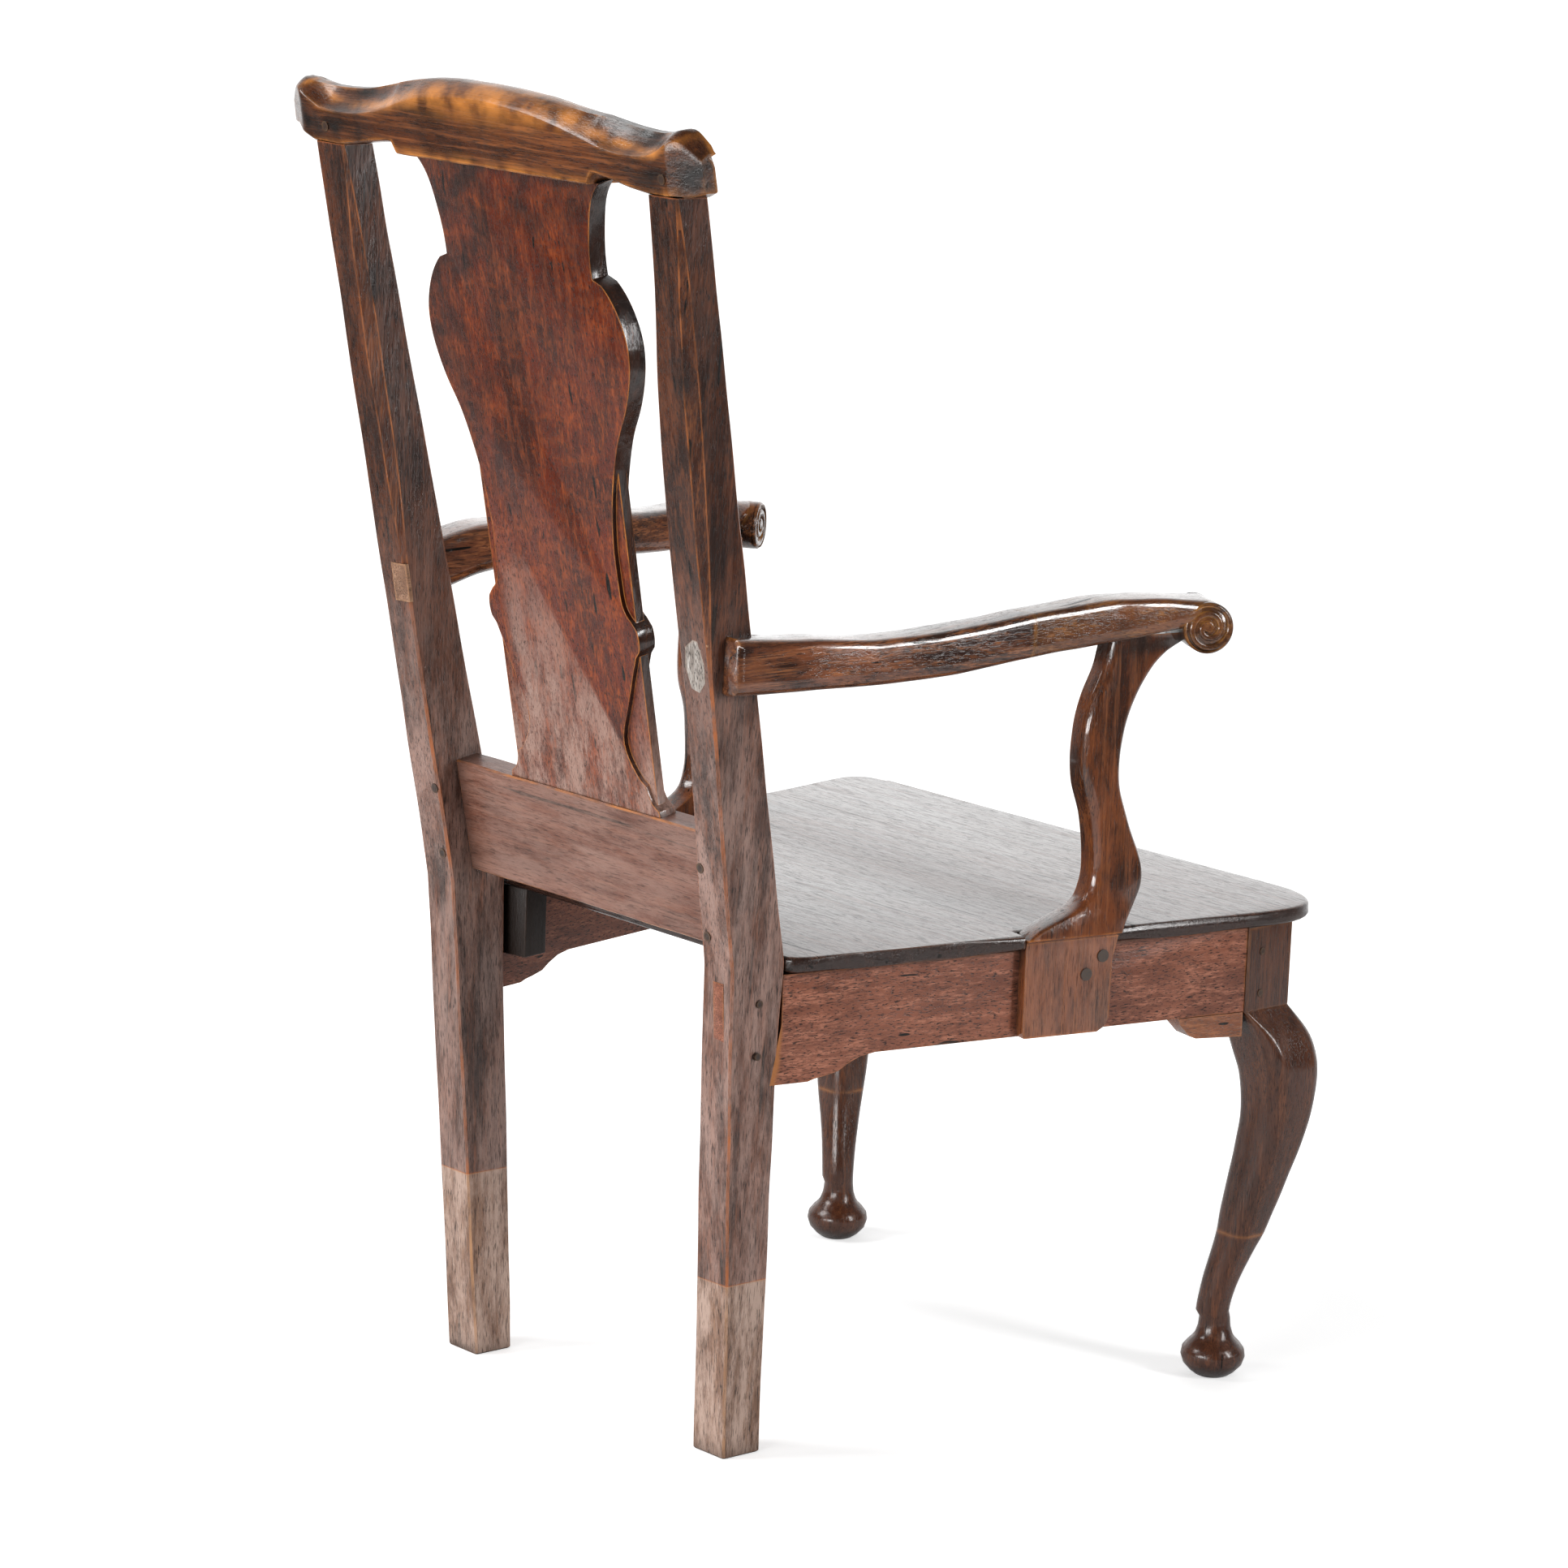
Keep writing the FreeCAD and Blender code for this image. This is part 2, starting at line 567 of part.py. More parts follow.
curve, leg_x, leg_y, leg_reach = leg_curve()
left_upper, left_foot = split_leg(curve, leg_x, leg_y, leg_reach, mm("sizes.leg_tip_left"))
right_upper, right_foot = split_leg(curve, leg_x, leg_y, leg_reach, mm("sizes.leg_tip_right"))
across = Vector(1, 0, 0)
right_upper = right_upper.mirror(Vector(), across)
right_foot = right_foot.mirror(Vector(), across)
shin_left = solid("shin_left", left_upper)
shin_right = solid("shin_right", right_upper)
front_foot_left = solid("front_foot_left", left_foot)
front_foot_right = solid("front_foot_right", right_foot)
block_right = mirror("block_right", block_left)
leg_left_whole = fuse("leg_left_whole", [block_left, shin_left])
leg_right_whole = fuse("leg_right_whole", [block_right, shin_right])
doc.recompute()

# Rear feet: both posts are pieced out below a flat splice with a dowel.
tip_parts = {}
for side_name, sign in (("left", 1), ("right", -1)):
    tip = "sizes.post_tip_" + side_name
    low_box = box("tip_box_" + side_name,
                  ("%d * sizes.post_bend_half - 2 * sizes.leg_block" % sign,
                   "sizes.back_y - 2 * sizes.post_bend_deep", "0"),
                  ("4 * sizes.leg_block", "3 * sizes.post_bend_deep", tip))
    foot_x = "(sizes.post_foot_half - sizes.post_foot_wide / 2)"
    foot_y = "(sizes.back_y - sizes.post_foot_set - sizes.post_foot_deep / 2)"
    bend_x = "(sizes.post_bend_half - sizes.post_bend_wide / 2)"
    bend_y = "(sizes.back_y - sizes.post_bend_deep / 2)"
    middle_x = "%d * (%s + %s / sizes.bend_z * (%s - %s))" % (sign, foot_x, tip, bend_x, foot_x)
    middle_y = "%s + %s / sizes.bend_z * (%s - %s)" % (foot_y, tip, bend_y, foot_y)
    dowel = peg("post_dowel_" + side_name, (middle_x, middle_y, tip + " - sizes.post_dowel_long"),
                Vector(0, 0, 1), "sizes.post_dowel_long + sizes.overrun", "sizes.post_dowel_radius")
    socket = peg("post_socket_" + side_name,
                 (middle_x, middle_y, tip + " - sizes.post_dowel_long - sizes.peg_fit"), Vector(0, 0, 1),
                 "sizes.post_dowel_long + 2 * sizes.peg_fit", "sizes.post_dowel_radius + sizes.peg_fit")
    tip_parts[side_name] = (low_box, dowel, socket)
doc.recompute()

rear_feet = {}
for side_name, blank in (("left", post_left_blank), ("right", post_right_blank)):
    low_box, dowel, socket = tip_parts[side_name]
    tip_solid = doc.addObject("Part::Common", "rear_tip_" + side_name)
    tip_solid.Base = blank
    tip_solid.Tool = low_box
    rear_feet[side_name] = cut("rear_foot_" + side_name, tip_solid, [socket])
doc.recompute()

# Arms: sawn from the plank, lapped on the post's outer face with a tenon through the post, dipping to the
# middle and sweeping out to a scroll. Shares: along the reach, flare, underside rise, height and width.
arm_shares = [(0.0, 0.0, 0.07, 1.05, 1.0), (0.084, 0.0, 0.02, 1.0, 1.0), (0.196, 0.03, 0.0, 0.93, 1.0),
              (0.32, 0.14, 0.0, 0.84, 0.97), (0.48, 0.28, 0.07, 0.84, 0.95), (0.644, 0.44, 0.27, 0.82, 0.95),
              (0.787, 0.60, 0.39, 0.84, 1.0), (0.884, 0.76, 0.30, 0.93, 1.05), (1.0, 0.97, 0.22, 0.90, 1.1)]


def arm_section(along, flare, rise, high, wide):
    """A rounded rectangle across the arm, standing in a plane square to the chair's side."""
    y = mm(ARM_REAR_Y) - along * mm("sizes.arm_reach")
    outer = mm(ARM_REAR_HALF) + flare * mm(ARM_FLARE)
    inner = outer - wide * mm("sizes.arm_wide")
    low = mm("sizes.arm_low_z") + rise * mm("sizes.arm_high")
    top = low + high * mm("sizes.arm_high")
    corner = mm("sizes.arm_edge_round")
    bend = corner * (1 - 1 / math.sqrt(2))
    corners = ((outer, top, -1, -1), (inner, top, 1, -1), (inner, low, 1, 1), (outer, low, -1, 1))
    starts = []
    for x, z, toward_x, toward_z in corners:
        along_x = Vector(x + toward_x * corner, y, z)
        middle = Vector(x + toward_x * bend, y, z + toward_z * bend)
        along_z = Vector(x, y, z + toward_z * corner)
        starts.append((along_x, middle, along_z))
    order = [(starts[0][2], starts[0][1], starts[0][0]), (starts[1][0], starts[1][1], starts[1][2]),
             (starts[2][2], starts[2][1], starts[2][0]), (starts[3][0], starts[3][1], starts[3][2])]
    edges = []
    for number in range(4):
        begin, middle, end = order[number]
        edges.append(Part.Arc(begin, middle, end).toShape())
        edges.append(Part.makeLine(end, order[(number + 1) % 4][0]))
    return Part.Wire(edges)


arm_loft = Part.makeLoft([arm_section(*row) for row in arm_shares], True, False)
last = arm_shares[-1]
scroll_x = mm(ARM_REAR_HALF) + last[1] * mm(ARM_FLARE) - last[4] * mm("sizes.arm_wide") / 2
scroll_y = mm(ARM_REAR_Y) - mm("sizes.arm_reach")
scroll_z = mm("sizes.arm_low_z") + (last[2] + last[3]) * mm("sizes.arm_high") - mm("sizes.scroll_radius")
scroll_turn = math.radians(mm("sizes.scroll_turn"))
scroll_axis = Vector(math.cos(scroll_turn), math.sin(scroll_turn), 0)
scroll_start = Vector(scroll_x, scroll_y, scroll_z) - scroll_axis * (mm("sizes.scroll_wide") / 2)
scroll = Part.makeCylinder(mm("sizes.scroll_radius"), mm("sizes.scroll_wide"), scroll_start, scroll_axis)
arm_blank = solid("arm_blank", arm_loft.fuse(scroll))
arm_lapped = cut("arm_lapped", arm_blank, [post_left_blank])
arm_tenon_box = box("arm_tenon_box",
                    ("%s - sizes.arm_tenon_set - sizes.arm_tenon_wide" % POST_AT_ARM,
                     "sizes.back_y - sizes.post_top_deep", "sizes.arm_low_z + sizes.arm_tenon_rise"),
                    ("sizes.arm_tenon_wide", "3 * sizes.post_top_deep", "sizes.arm_tenon_high"))
arm_tenon = doc.addObject("Part::Common", "arm_tenon")
arm_tenon.Base = arm_tenon_box
arm_tenon.Tool = post_left_blank
arm_left_whole = fuse("arm_left_whole", [arm_lapped, arm_tenon])
doc.recompute()

# Arm supports: S-shaped posts sawn from thick stuff, lapped and screwed to the outside of the side rails,
# with a shoulder over the seat's edge and a tenon up into the arm.
# Shares: height of the support, then distance along the rail in foot widths.
support_rear_shares = [(0.0, 0.0), (0.235, 0.0), (0.255, 0.18), (0.286, 0.40), (0.322, 0.60),
                       (0.376, 0.655), (0.44, 0.66), (0.56, 0.55), (0.66, 0.41), (0.79, 0.38),
                       (0.897, 0.464), (1.0, 0.62), (1.06, 0.72)]
support_front_shares = [(0.0, 0.86), (0.045, 0.98), (0.19, 0.976), (0.25, 1.05), (0.286, 1.12),
                        (0.322, 1.19), (0.376, 1.25), (0.44, 1.215), (0.56, 1.01), (0.66, 0.893),
                        (0.79, 0.917), (0.897, 1.024), (1.0, 1.30), (1.06, 1.42)]


def support_edge(rows, straight):
    """One long edge of the support: a straight lap at the foot, then a smooth reverse curve."""
    places = [Vector(along * mm("sizes.support_foot_wide"), 0, high * mm(SUPPORT_HIGH))
              for high, along in rows]
    edges = [Part.makeLine(places[n], places[n + 1]) for n in range(straight)]
    curve = Part.BSplineCurve()
    curve.interpolate(places[straight:])
    return edges + [curve.toShape()], places[0], places[-1]


rear_edges, rear_foot_place, rear_head_place = support_edge(support_rear_shares, 1)
front_edges, front_foot_place, front_head_place = support_edge(support_front_shares, 2)
support_wire = Part.Wire(Part.__sortEdges__(rear_edges + front_edges + [
    Part.makeLine(rear_foot_place, front_foot_place), Part.makeLine(rear_head_place, front_head_place)]))
support_board = Part.Face(support_wire).extrude(Vector(0, -mm("sizes.support_thick"), 0))
if support_board.Volume < 0:
    support_board = support_board.reversed()
support_start = mm("sizes.support_foot_y - sizes.post_bend_deep") / math.cos(math.radians(splay))
support_frame = Placement(Vector(mm("sizes.post_bend_half - sizes.rail_set_in"),
                                 mm("sizes.back_y - sizes.post_bend_deep"), mm("sizes.rail_low_z")),
                          Rotation(Vector(0, 0, 1), splay - 90))
support_board.translate(Vector(support_start, mm("sizes.support_thick - sizes.support_shoulder"), 0))
support_board.Placement = support_frame.multiply(support_board.Placement)
support_blank = solid("support_blank", support_board)
doc.recompute()

# Seat: one board lying on the rails, its rear edge fitted against the posts, notched round the arm
# supports, its edges rounded over.
seat_body = doc.addObject("PartDesign::Body", "seat_body")
seat_side = "(sizes.post_bend_half - sizes.rail_set_in + sizes.seat_side_over)"
seat_slope = ("((sizes.leg_outer_x - sizes.post_bend_half)"
              " / (sizes.leg_front_y - sizes.leg_block + sizes.back_y - sizes.post_bend_deep))")
seat_front = "(sizes.leg_front_y + sizes.seat_front_over)"
seat_front_half = ("(%s + %s * (%s + sizes.back_y - sizes.post_bend_deep))"
                   % (seat_side, seat_slope, seat_front))
post_front = "(sizes.back_y - sizes.post_bend_deep)"
seat_points = [(seat_side, post_front), (seat_front_half, "-" + seat_front),
               ("-" + seat_front_half, "-" + seat_front), ("-" + seat_side, post_front)]
seat_sketch = outline_sketch(seat_body, "seat_outline", "XY_Plane", seat_points)
doc.recompute()
seat_pad = seat_body.newObject("PartDesign::Pad", "seat_pad")
seat_pad.Profile = seat_sketch
seat_pad.setExpression("Length", "sizes.seat_thick")
seat_body.Tip = seat_pad
seat_body.setExpression("Placement.Base.z", "sizes.rail_low_z + sizes.rail_high")
doc.recompute()


def edge_names(shape, wanted):
    return ["Edge%d" % (number + 1) for number, edge in enumerate(shape.Edges) if wanted(edge)]


corner_round = seat_body.newObject("PartDesign::Fillet", "seat_corner_round")
front_y = -mm(seat_front)
corner_round.Base = (seat_pad, edge_names(
    seat_pad.Shape, lambda e: e.BoundBox.ZLength > mm("sizes.seat_thick") / 2
    and abs(e.BoundBox.YMin - front_y) < mm("sizes.overrun")))
corner_round.setExpression("Radius", "sizes.seat_corner")
seat_body.Tip = corner_round
doc.recompute()
edge_round = seat_body.newObject("PartDesign::Fillet", "seat_edge_round")
edge_round.Base = (corner_round, edge_names(
    corner_round.Shape, lambda e: e.BoundBox.ZLength < mm("sizes.overrun") / 5
    and e.BoundBox.YMin < mm(post_front) - mm("sizes.overrun")))
edge_round.setExpression("Radius", "sizes.seat_edge_round")
seat_body.Tip = edge_round
doc.recompute()
support_right_blank = mirror("support_right_blank", support_blank)
seat_board = cut("seat_board", seat_body,
                 [post_left_blank, post_right_blank, support_blank, support_right_blank])
doc.recompute()

# Support finished: its foot cut to the rail and seat, its head to the arm, with a tenon into the arm.
support_tenon_along_share = 0.97
support_tenon_low_share = 0.9
support_cut = cut("support_cut", support_blank, [side_body, arm_blank])
support_middle = ("(sizes.support_foot_y - sizes.post_bend_deep) / cos(%s) + %s * sizes.support_foot_wide"
                  % (SPLAY, support_tenon_along_share))
support_tenon = rail_box("support_tenon", "%s - sizes.support_tenon_wide / 2" % support_middle,
                         "-(sizes.support_thick + sizes.support_tenon_thick) / 2 + sizes.support_shoulder",
                         "sizes.rail_low_z + %s * %s" % (support_tenon_low_share, SUPPORT_HIGH),
                         "sizes.support_tenon_wide", "sizes.support_tenon_thick",
                         "(1 - %s) * %s + sizes.support_tenon_high" % (support_tenon_low_share, SUPPORT_HIGH))
support_left_whole = fuse("support_left_whole", [support_cut, support_tenon])
arm_left_solid = cut("arm_left_solid", arm_left_whole, [support_tenon])
doc.recompute()

# Screws that hold each support to its rail, sunk in counterbores.
# Shares of the foot's width and of the support's height.
screw_shares = [(0.86, 0.20), (0.68, 0.155)]
screws = []
screw_holes = []
screw_turn = Vector(-math.cos(math.radians(splay)), -math.sin(math.radians(splay)), 0)
for number, (along, high) in enumerate(screw_shares):
    start = ("(sizes.support_foot_y - sizes.post_bend_deep) / cos(%s) + %s * sizes.support_foot_wide"
             % (SPLAY, along))
    out = "(sizes.support_thick - sizes.support_shoulder - sizes.screw_sink)"
    wide_out = "(sizes.support_thick - sizes.support_shoulder + sizes.overrun)"
    height = "sizes.rail_low_z + %s * %s" % (high, SUPPORT_HIGH)

    def place(distance):
        return ("sizes.post_bend_half - sizes.rail_set_in + (%s) * sin(%s) + %s * cos(%s)"
                % (start, SPLAY, distance, SPLAY),
                "sizes.back_y - sizes.post_bend_deep - (%s) * cos(%s) + %s * sin(%s)"
                % (start, SPLAY, distance, SPLAY), height)

    head = peg("screw_head_%d" % number, place(out), screw_turn, "sizes.screw_head_high",
               "sizes.screw_head_radius")
    shank = peg("screw_shank_%d" % number, place(out), screw_turn, "sizes.screw_long",
                "sizes.screw_shank_radius")
    screws.append(fuse("screw_%d" % number, [head, shank]))
    wide_hole = peg("screw_sink_%d" % number, place(wide_out), screw_turn,
                    "sizes.overrun + sizes.screw_sink + sizes.screw_head_high",
                    "sizes.screw_head_radius + sizes.peg_fit")
    long_hole = peg("screw_hole_%d" % number, place(out), screw_turn, "sizes.screw_long + sizes.peg_fit",
                    "sizes.screw_shank_radius + sizes.peg_fit")
    screw_holes += [wide_hole, long_hole]
screws_left = group("support_screws_left", screws)
doc.recompute()

# Draw pegs: short oak pins through each mortise and its tenon. Shares: how deep a pin goes, how far in
# from the edge it stands, and its heights up the rail.
peg_deep_share = 0.8
back_peg_in_share = 0.72
back_peg_height_shares = (0.2, 0.8)
rear_peg_in_share = 0.55
rear_peg_height_shares = (0.12, 0.72)
front_peg_in_share = 0.68
front_peg_deep_share = 0.56
front_peg_height_shares = (0.2, 0.7)
pegs = {"crest_pegs": [], "back_rail_pegs": [], "rail_rear_pegs_left": [], "rail_front_pegs_left": []}
holes = {name: [] for name in pegs}


def drawn_peg(kind, number, centre, direction, length, radius):
    """A pin that stands a little proud of the wood, and the hole it fills."""
    pegs[kind].append(peg("%s_%d" % (kind, number), centre, direction, length, radius))
    holes[kind].append(peg("%s_hole_%d" % (kind, number), centre, direction,
                           "%s + sizes.peg_fit" % length, "%s + sizes.peg_fit" % radius))


def back_place(x, high, proud):
    return (x, "sizes.back_y + (%s) * sin(%s) + %s * cos(%s)" % (high, RAKE, proud, RAKE),
            "sizes.bend_z + (%s) * cos(%s) - %s * sin(%s)" % (high, RAKE, proud, RAKE))


into_back = Vector(0, -math.cos(math.radians(rake)), math.sin(math.radians(rake)))
for number, sign in enumerate((1, -1)):
    crest_high = "(sizes.post_top_z - sizes.bend_z) / cos(%s) + sizes.crest_tenon_high / 2" % RAKE
    crest_peg_x = "%d * (sizes.post_top_half - sizes.post_top_wide / 2)" % sign
    drawn_peg("crest_pegs", number, back_place(crest_peg_x, crest_high, "sizes.peg_proud"),
              into_back, "%s * sizes.crest_deep" % peg_deep_share, "sizes.peg_radius")
    for level, share in enumerate(back_peg_height_shares):
        rail_peg_high = "sizes.back_rail_low + %s * sizes.back_rail_high" % share
        drawn_peg("back_rail_pegs", 2 * number + level,
                  back_place("%d * (sizes.post_bend_half - %s * sizes.post_bend_wide)"
                             % (sign, back_peg_in_share), rail_peg_high, "sizes.peg_proud"),
                  into_back, "%s * sizes.post_bend_deep" % peg_deep_share, "sizes.peg_radius")
for level, share in enumerate(rear_peg_height_shares):
    high = "sizes.rail_low_z + %s * sizes.rail_high" % share
    drawn_peg("rail_rear_pegs_left", level,
              ("sizes.post_bend_half + sizes.peg_proud",
               "sizes.back_y - %s * sizes.post_bend_deep" % rear_peg_in_share, high),
              Vector(-1, 0, 0), "%s * sizes.post_bend_wide" % peg_deep_share, "sizes.small_peg_radius")
for level, share in enumerate(front_peg_height_shares):
    high = "sizes.rail_low_z + %s * sizes.rail_high" % share
    drawn_peg("rail_front_pegs_left", level,
              ("sizes.leg_outer_x + sizes.peg_proud",
               "%s * sizes.leg_block - sizes.leg_front_y" % front_peg_in_share, high),
              Vector(-1, 0, 0), "%s * sizes.leg_block" % front_peg_deep_share, "sizes.small_peg_radius")
doc.recompute()

# Crest finished: sockets for the post tenons, the splat and the pegs.
crest_tenon_right = mirror("crest_tenon_right", crest_tenon)
crest_rail = cut("crest_rail", crest_blank, [crest_tenon, crest_tenon_right, splat] + holes["crest_pegs"])

# Side rails and back rail finished: peg and screw holes.
side_rail_left = cut("side_rail_left", side_rail_left_whole,
                     holes["rail_rear_pegs_left"] + holes["rail_front_pegs_left"]
                     + [screw_holes[1], screw_holes[3]])
side_rail_right = mirror("side_rail_right", side_rail_left)
back_rail_pegged = cut("back_rail_pegged", back_rail, holes["back_rail_pegs"])
arm_support_left = cut("arm_support_left", support_left_whole, screw_holes)
arm_support_right = mirror("arm_support_right", arm_support_left)
support_screws_right = mirror("support_screws_right", screws_left)
doc.recompute()

# Posts finished: mortises for the back rail, side rail and arm, peg holes and the splice for the foot.
post_left_jointed = cut("post_left_jointed", post_left_long,
                        [back_rail_solid, rear_tenon, arm_tenon] + holes["rail_rear_pegs_left"]
                        + [holes["back_rail_pegs"][0], holes["back_rail_pegs"][1], holes["crest_pegs"][0]])
post_right_jointed = mirror("post_right_jointed", post_left_jointed)
posts = {}
for side_name, jointed in (("left", post_left_jointed), ("right", post_right_jointed)):
    low_box, dowel, socket = tip_parts[side_name]
    above = cut("post_above_" + side_name, jointed, [low_box])
    posts[side_name] = fuse("rear_post_" + side_name, [above, dowel])
doc.recompute()

# Front legs finished: mortises for the side rail and the front rail, and peg holes.
front_tenon_right = mirror("front_tenon_right", front_tenon)
front_holes_right = [mirror("front_hole_right_%d" % n, hole)
                     for n, hole in enumerate(holes["rail_front_pegs_left"])]
front_leg_left = cut("front_leg_left", leg_left_whole,
                     [front_tongue, front_tenon] + holes["rail_front_pegs_left"])
front_leg_right = cut("front_leg_right", leg_right_whole,
                      [front_tongue, front_tenon_right] + front_holes_right)
doc.recompute()

# Arms finished. The left one is a single piece; the right one has a renewed front end, butted on a scarf.
arm_right_whole = mirror("arm_right_whole", arm_left_solid)
scarf_front = box("scarf_front",
                  ("-3 * %s" % ARM_REAR_HALF, "sizes.back_y - sizes.scarf_y - sizes.arm_reach",
                   "sizes.arm_low_z - sizes.arm_high"),
                  ("3 * %s" % ARM_REAR_HALF, "sizes.arm_reach", "4 * sizes.arm_high"))
arm_right_rear = cut("arm_right_rear", arm_right_whole, [scarf_front])
arm_right_front = doc.addObject("Part::Common", "arm_right_front")
arm_right_front.Base = arm_right_whole
arm_right_front.Tool = scarf_front
doc.recompute()

# Knee brackets: small shaped blocks under the rails on both sides of each front block.
bracket_shares = [(0.0, 0.0), (0.0, -0.95), (0.10, -1.0), (0.22, -0.86), (0.45, -0.60), (0.66, -0.52),
                  (0.82, -0.50), (0.90, -0.34), (0.94, -0.12), (1.0, 0.0)]


def bracket(name, role, placement):
    """A bracket drawn from the block outwards, hanging from the rail's underside."""
    body = doc.addObject("PartDesign::Body", name)
    points = [("%s * sizes.bracket_long" % a if a else "0", "%s * sizes.bracket_high" % h if h else "0")
              for a, h in bracket_shares]
    sketch = outline_sketch(body, name + "_outline", role, points)
    doc.recompute()
    pad = body.newObject("PartDesign::Pad", name + "_pad")
    pad.Profile = sketch
    pad.setExpression("Length", "sizes.bracket_thick")
    body.Tip = pad
    for axis, expression in placement[1].items():
        body.setExpression("Placement.Base." + axis, expression)
    body.Placement = Placement(body.Placement.Base, placement[0])
    doc.recompute()
    return body


leg_cut = [shin_left, block_left]
side_bracket = bracket(
    "side_bracket", "XZ_Plane",
    (Rotation(Vector(0, 0, 1), 90 - splay),
     {"x": "sizes.leg_outer_x - sizes.rail_set_in - sizes.bracket_thick * cos(%s)" % SPLAY,
      "y": "sizes.leg_block - sizes.leg_front_y",
      "z": "sizes.rail_low_z"}))
front_bracket = bracket(
    "front_bracket", "XZ_Plane",
    (Rotation(Vector(0, 0, 1), 180),
     {"x": "sizes.leg_outer_x - sizes.leg_block",
      "y": "sizes.rail_set_in - sizes.leg_front_y",
      "z": "sizes.rail_low_z"}))
knee_bracket_side_left = cut("knee_bracket_side_left", side_bracket, leg_cut)
knee_bracket_front_left = cut("knee_bracket_front_left", front_bracket, leg_cut)
doc.recompute()

# Corner blocks: glued into the rear corners under the seat, against rail and post.
corner_left = rail_box("corner_left", "0", "sizes.rail_thick",
                       "sizes.rail_low_z + sizes.rail_high - sizes.corner_block_high",
                       "sizes.corner_block", "sizes.corner_block", "sizes.corner_block_high")
corner_block_left = cut("corner_block_left", corner_left, [post_left_blank])
doc.recompute()

PIECES = {
    "rear_post_left": posts["left"],
    "rear_post_right": posts["right"],
    "rear_foot_left": rear_feet["left"],
    "rear_foot_right": rear_feet["right"],
    "crest_rail": crest_rail,
    "splat": splat,
    "back_rail": back_rail_pegged,
    "side_rail_left": side_rail_left,
    "side_rail_right": side_rail_right,
    "front_rail": front_rail_whole,
    "front_leg_left": front_leg_left,
    "front_leg_right": front_leg_right,
    "front_foot_left": front_foot_left,
    "front_foot_right": front_foot_right,
    "seat_board": seat_board,
    "arm_left": arm_left_solid,
    "arm_right_rear": arm_right_rear,
    "arm_right_front": arm_right_front,
    "arm_support_left": arm_support_left,
    "arm_support_right": arm_support_right,
    "support_screws_left": screws_left,
    "support_screws_right": support_screws_right,
    "knee_bracket_side_left": knee_bracket_side_left,
    "knee_bracket_side_right": mirror("knee_bracket_side_right", knee_bracket_side_left),
    "knee_bracket_front_left": knee_bracket_front_left,
    "knee_bracket_front_right": mirror("knee_bracket_front_right", knee_bracket_front_left),
    "corner_block_left": corner_block_left,
    "corner_block_right": mirror("corner_block_right", corner_block_left),
    "crest_pegs": group("crest_pegs", pegs["crest_pegs"]),
    "back_rail_pegs": group("back_rail_pegs", pegs["back_rail_pegs"]),
    "rail_rear_pegs_left": group("rail_rear_pegs_left", pegs["rail_rear_pegs_left"]),
    "rail_front_pegs_left": group("rail_front_pegs_left", pegs["rail_front_pegs_left"]),
}
for kind in ("rail_rear_pegs", "rail_front_pegs"):
    PIECES[kind + "_right"] = mirror(kind + "_right", PIECES[kind + "_left"])
doc.recompute()

# Checks before writing: no failed object, and every piece a valid closed shape.
failed = [obj.Name for obj in doc.Objects if "Invalid" in obj.State or "Error" in obj.State]
if failed:
    raise RuntimeError("failed objects: %s" % failed)
for label, piece in PIECES.items():
    shape = piece.Shape
    if shape.isNull() or not shape.isValid() or not shape.Solids:
        raise RuntimeError("bad shape: " + label)
    piece.Label = label

os.makedirs("parts", exist_ok=True)
for label, piece in PIECES.items():
    piece.Shape.exportStep("parts/%s.step" % label)
    print("%-26s solids %d  volume %10.0f" % (label, len(piece.Shape.Solids), piece.Shape.Volume))
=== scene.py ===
import math

import bmesh
import bpy
from mathutils import Matrix, Vector, noise


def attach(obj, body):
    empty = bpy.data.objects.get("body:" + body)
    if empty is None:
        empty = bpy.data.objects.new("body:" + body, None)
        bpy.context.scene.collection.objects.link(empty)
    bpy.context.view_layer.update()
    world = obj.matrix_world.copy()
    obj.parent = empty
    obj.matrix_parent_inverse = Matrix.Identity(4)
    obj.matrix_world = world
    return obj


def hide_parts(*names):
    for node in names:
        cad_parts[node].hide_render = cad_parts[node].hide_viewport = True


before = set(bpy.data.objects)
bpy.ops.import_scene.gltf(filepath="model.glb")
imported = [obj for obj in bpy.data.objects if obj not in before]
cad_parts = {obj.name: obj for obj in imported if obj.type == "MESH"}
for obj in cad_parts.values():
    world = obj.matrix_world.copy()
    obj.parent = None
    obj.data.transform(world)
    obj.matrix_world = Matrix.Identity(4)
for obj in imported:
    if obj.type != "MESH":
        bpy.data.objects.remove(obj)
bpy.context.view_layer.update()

# The two rear posts: each one length of oak sawn from thick plank, square below the seat and raked back
# above it. One back arris of each is chamfered by hand from the crest down to the arm. They are waxed
# dark, painted darker still towards the top as painted shade and paler below as painted light over dry
# greyed wood, and rubbed through to orange brown on the edges.
BEND_Z = 0.402
BACK_Y = 0.2246
POST_TOP_Z = 1.0
TOP_BACK = 0.105
RAKE = math.atan2(TOP_BACK, POST_TOP_Z - BEND_Z)


def between(rows, at):
    """Values of a table at one place in its first column, in straight runs from row to row."""
    if at <= rows[0][0]:
        return rows[0][1:]
    for low, high in zip(rows, rows[1:]):
        if at <= high[0]:
            part = (at - low[0]) / (high[0] - low[0])
            return [a + (b - a) * part for a, b in zip(low[1:], high[1:])]
    return rows[-1][1:]


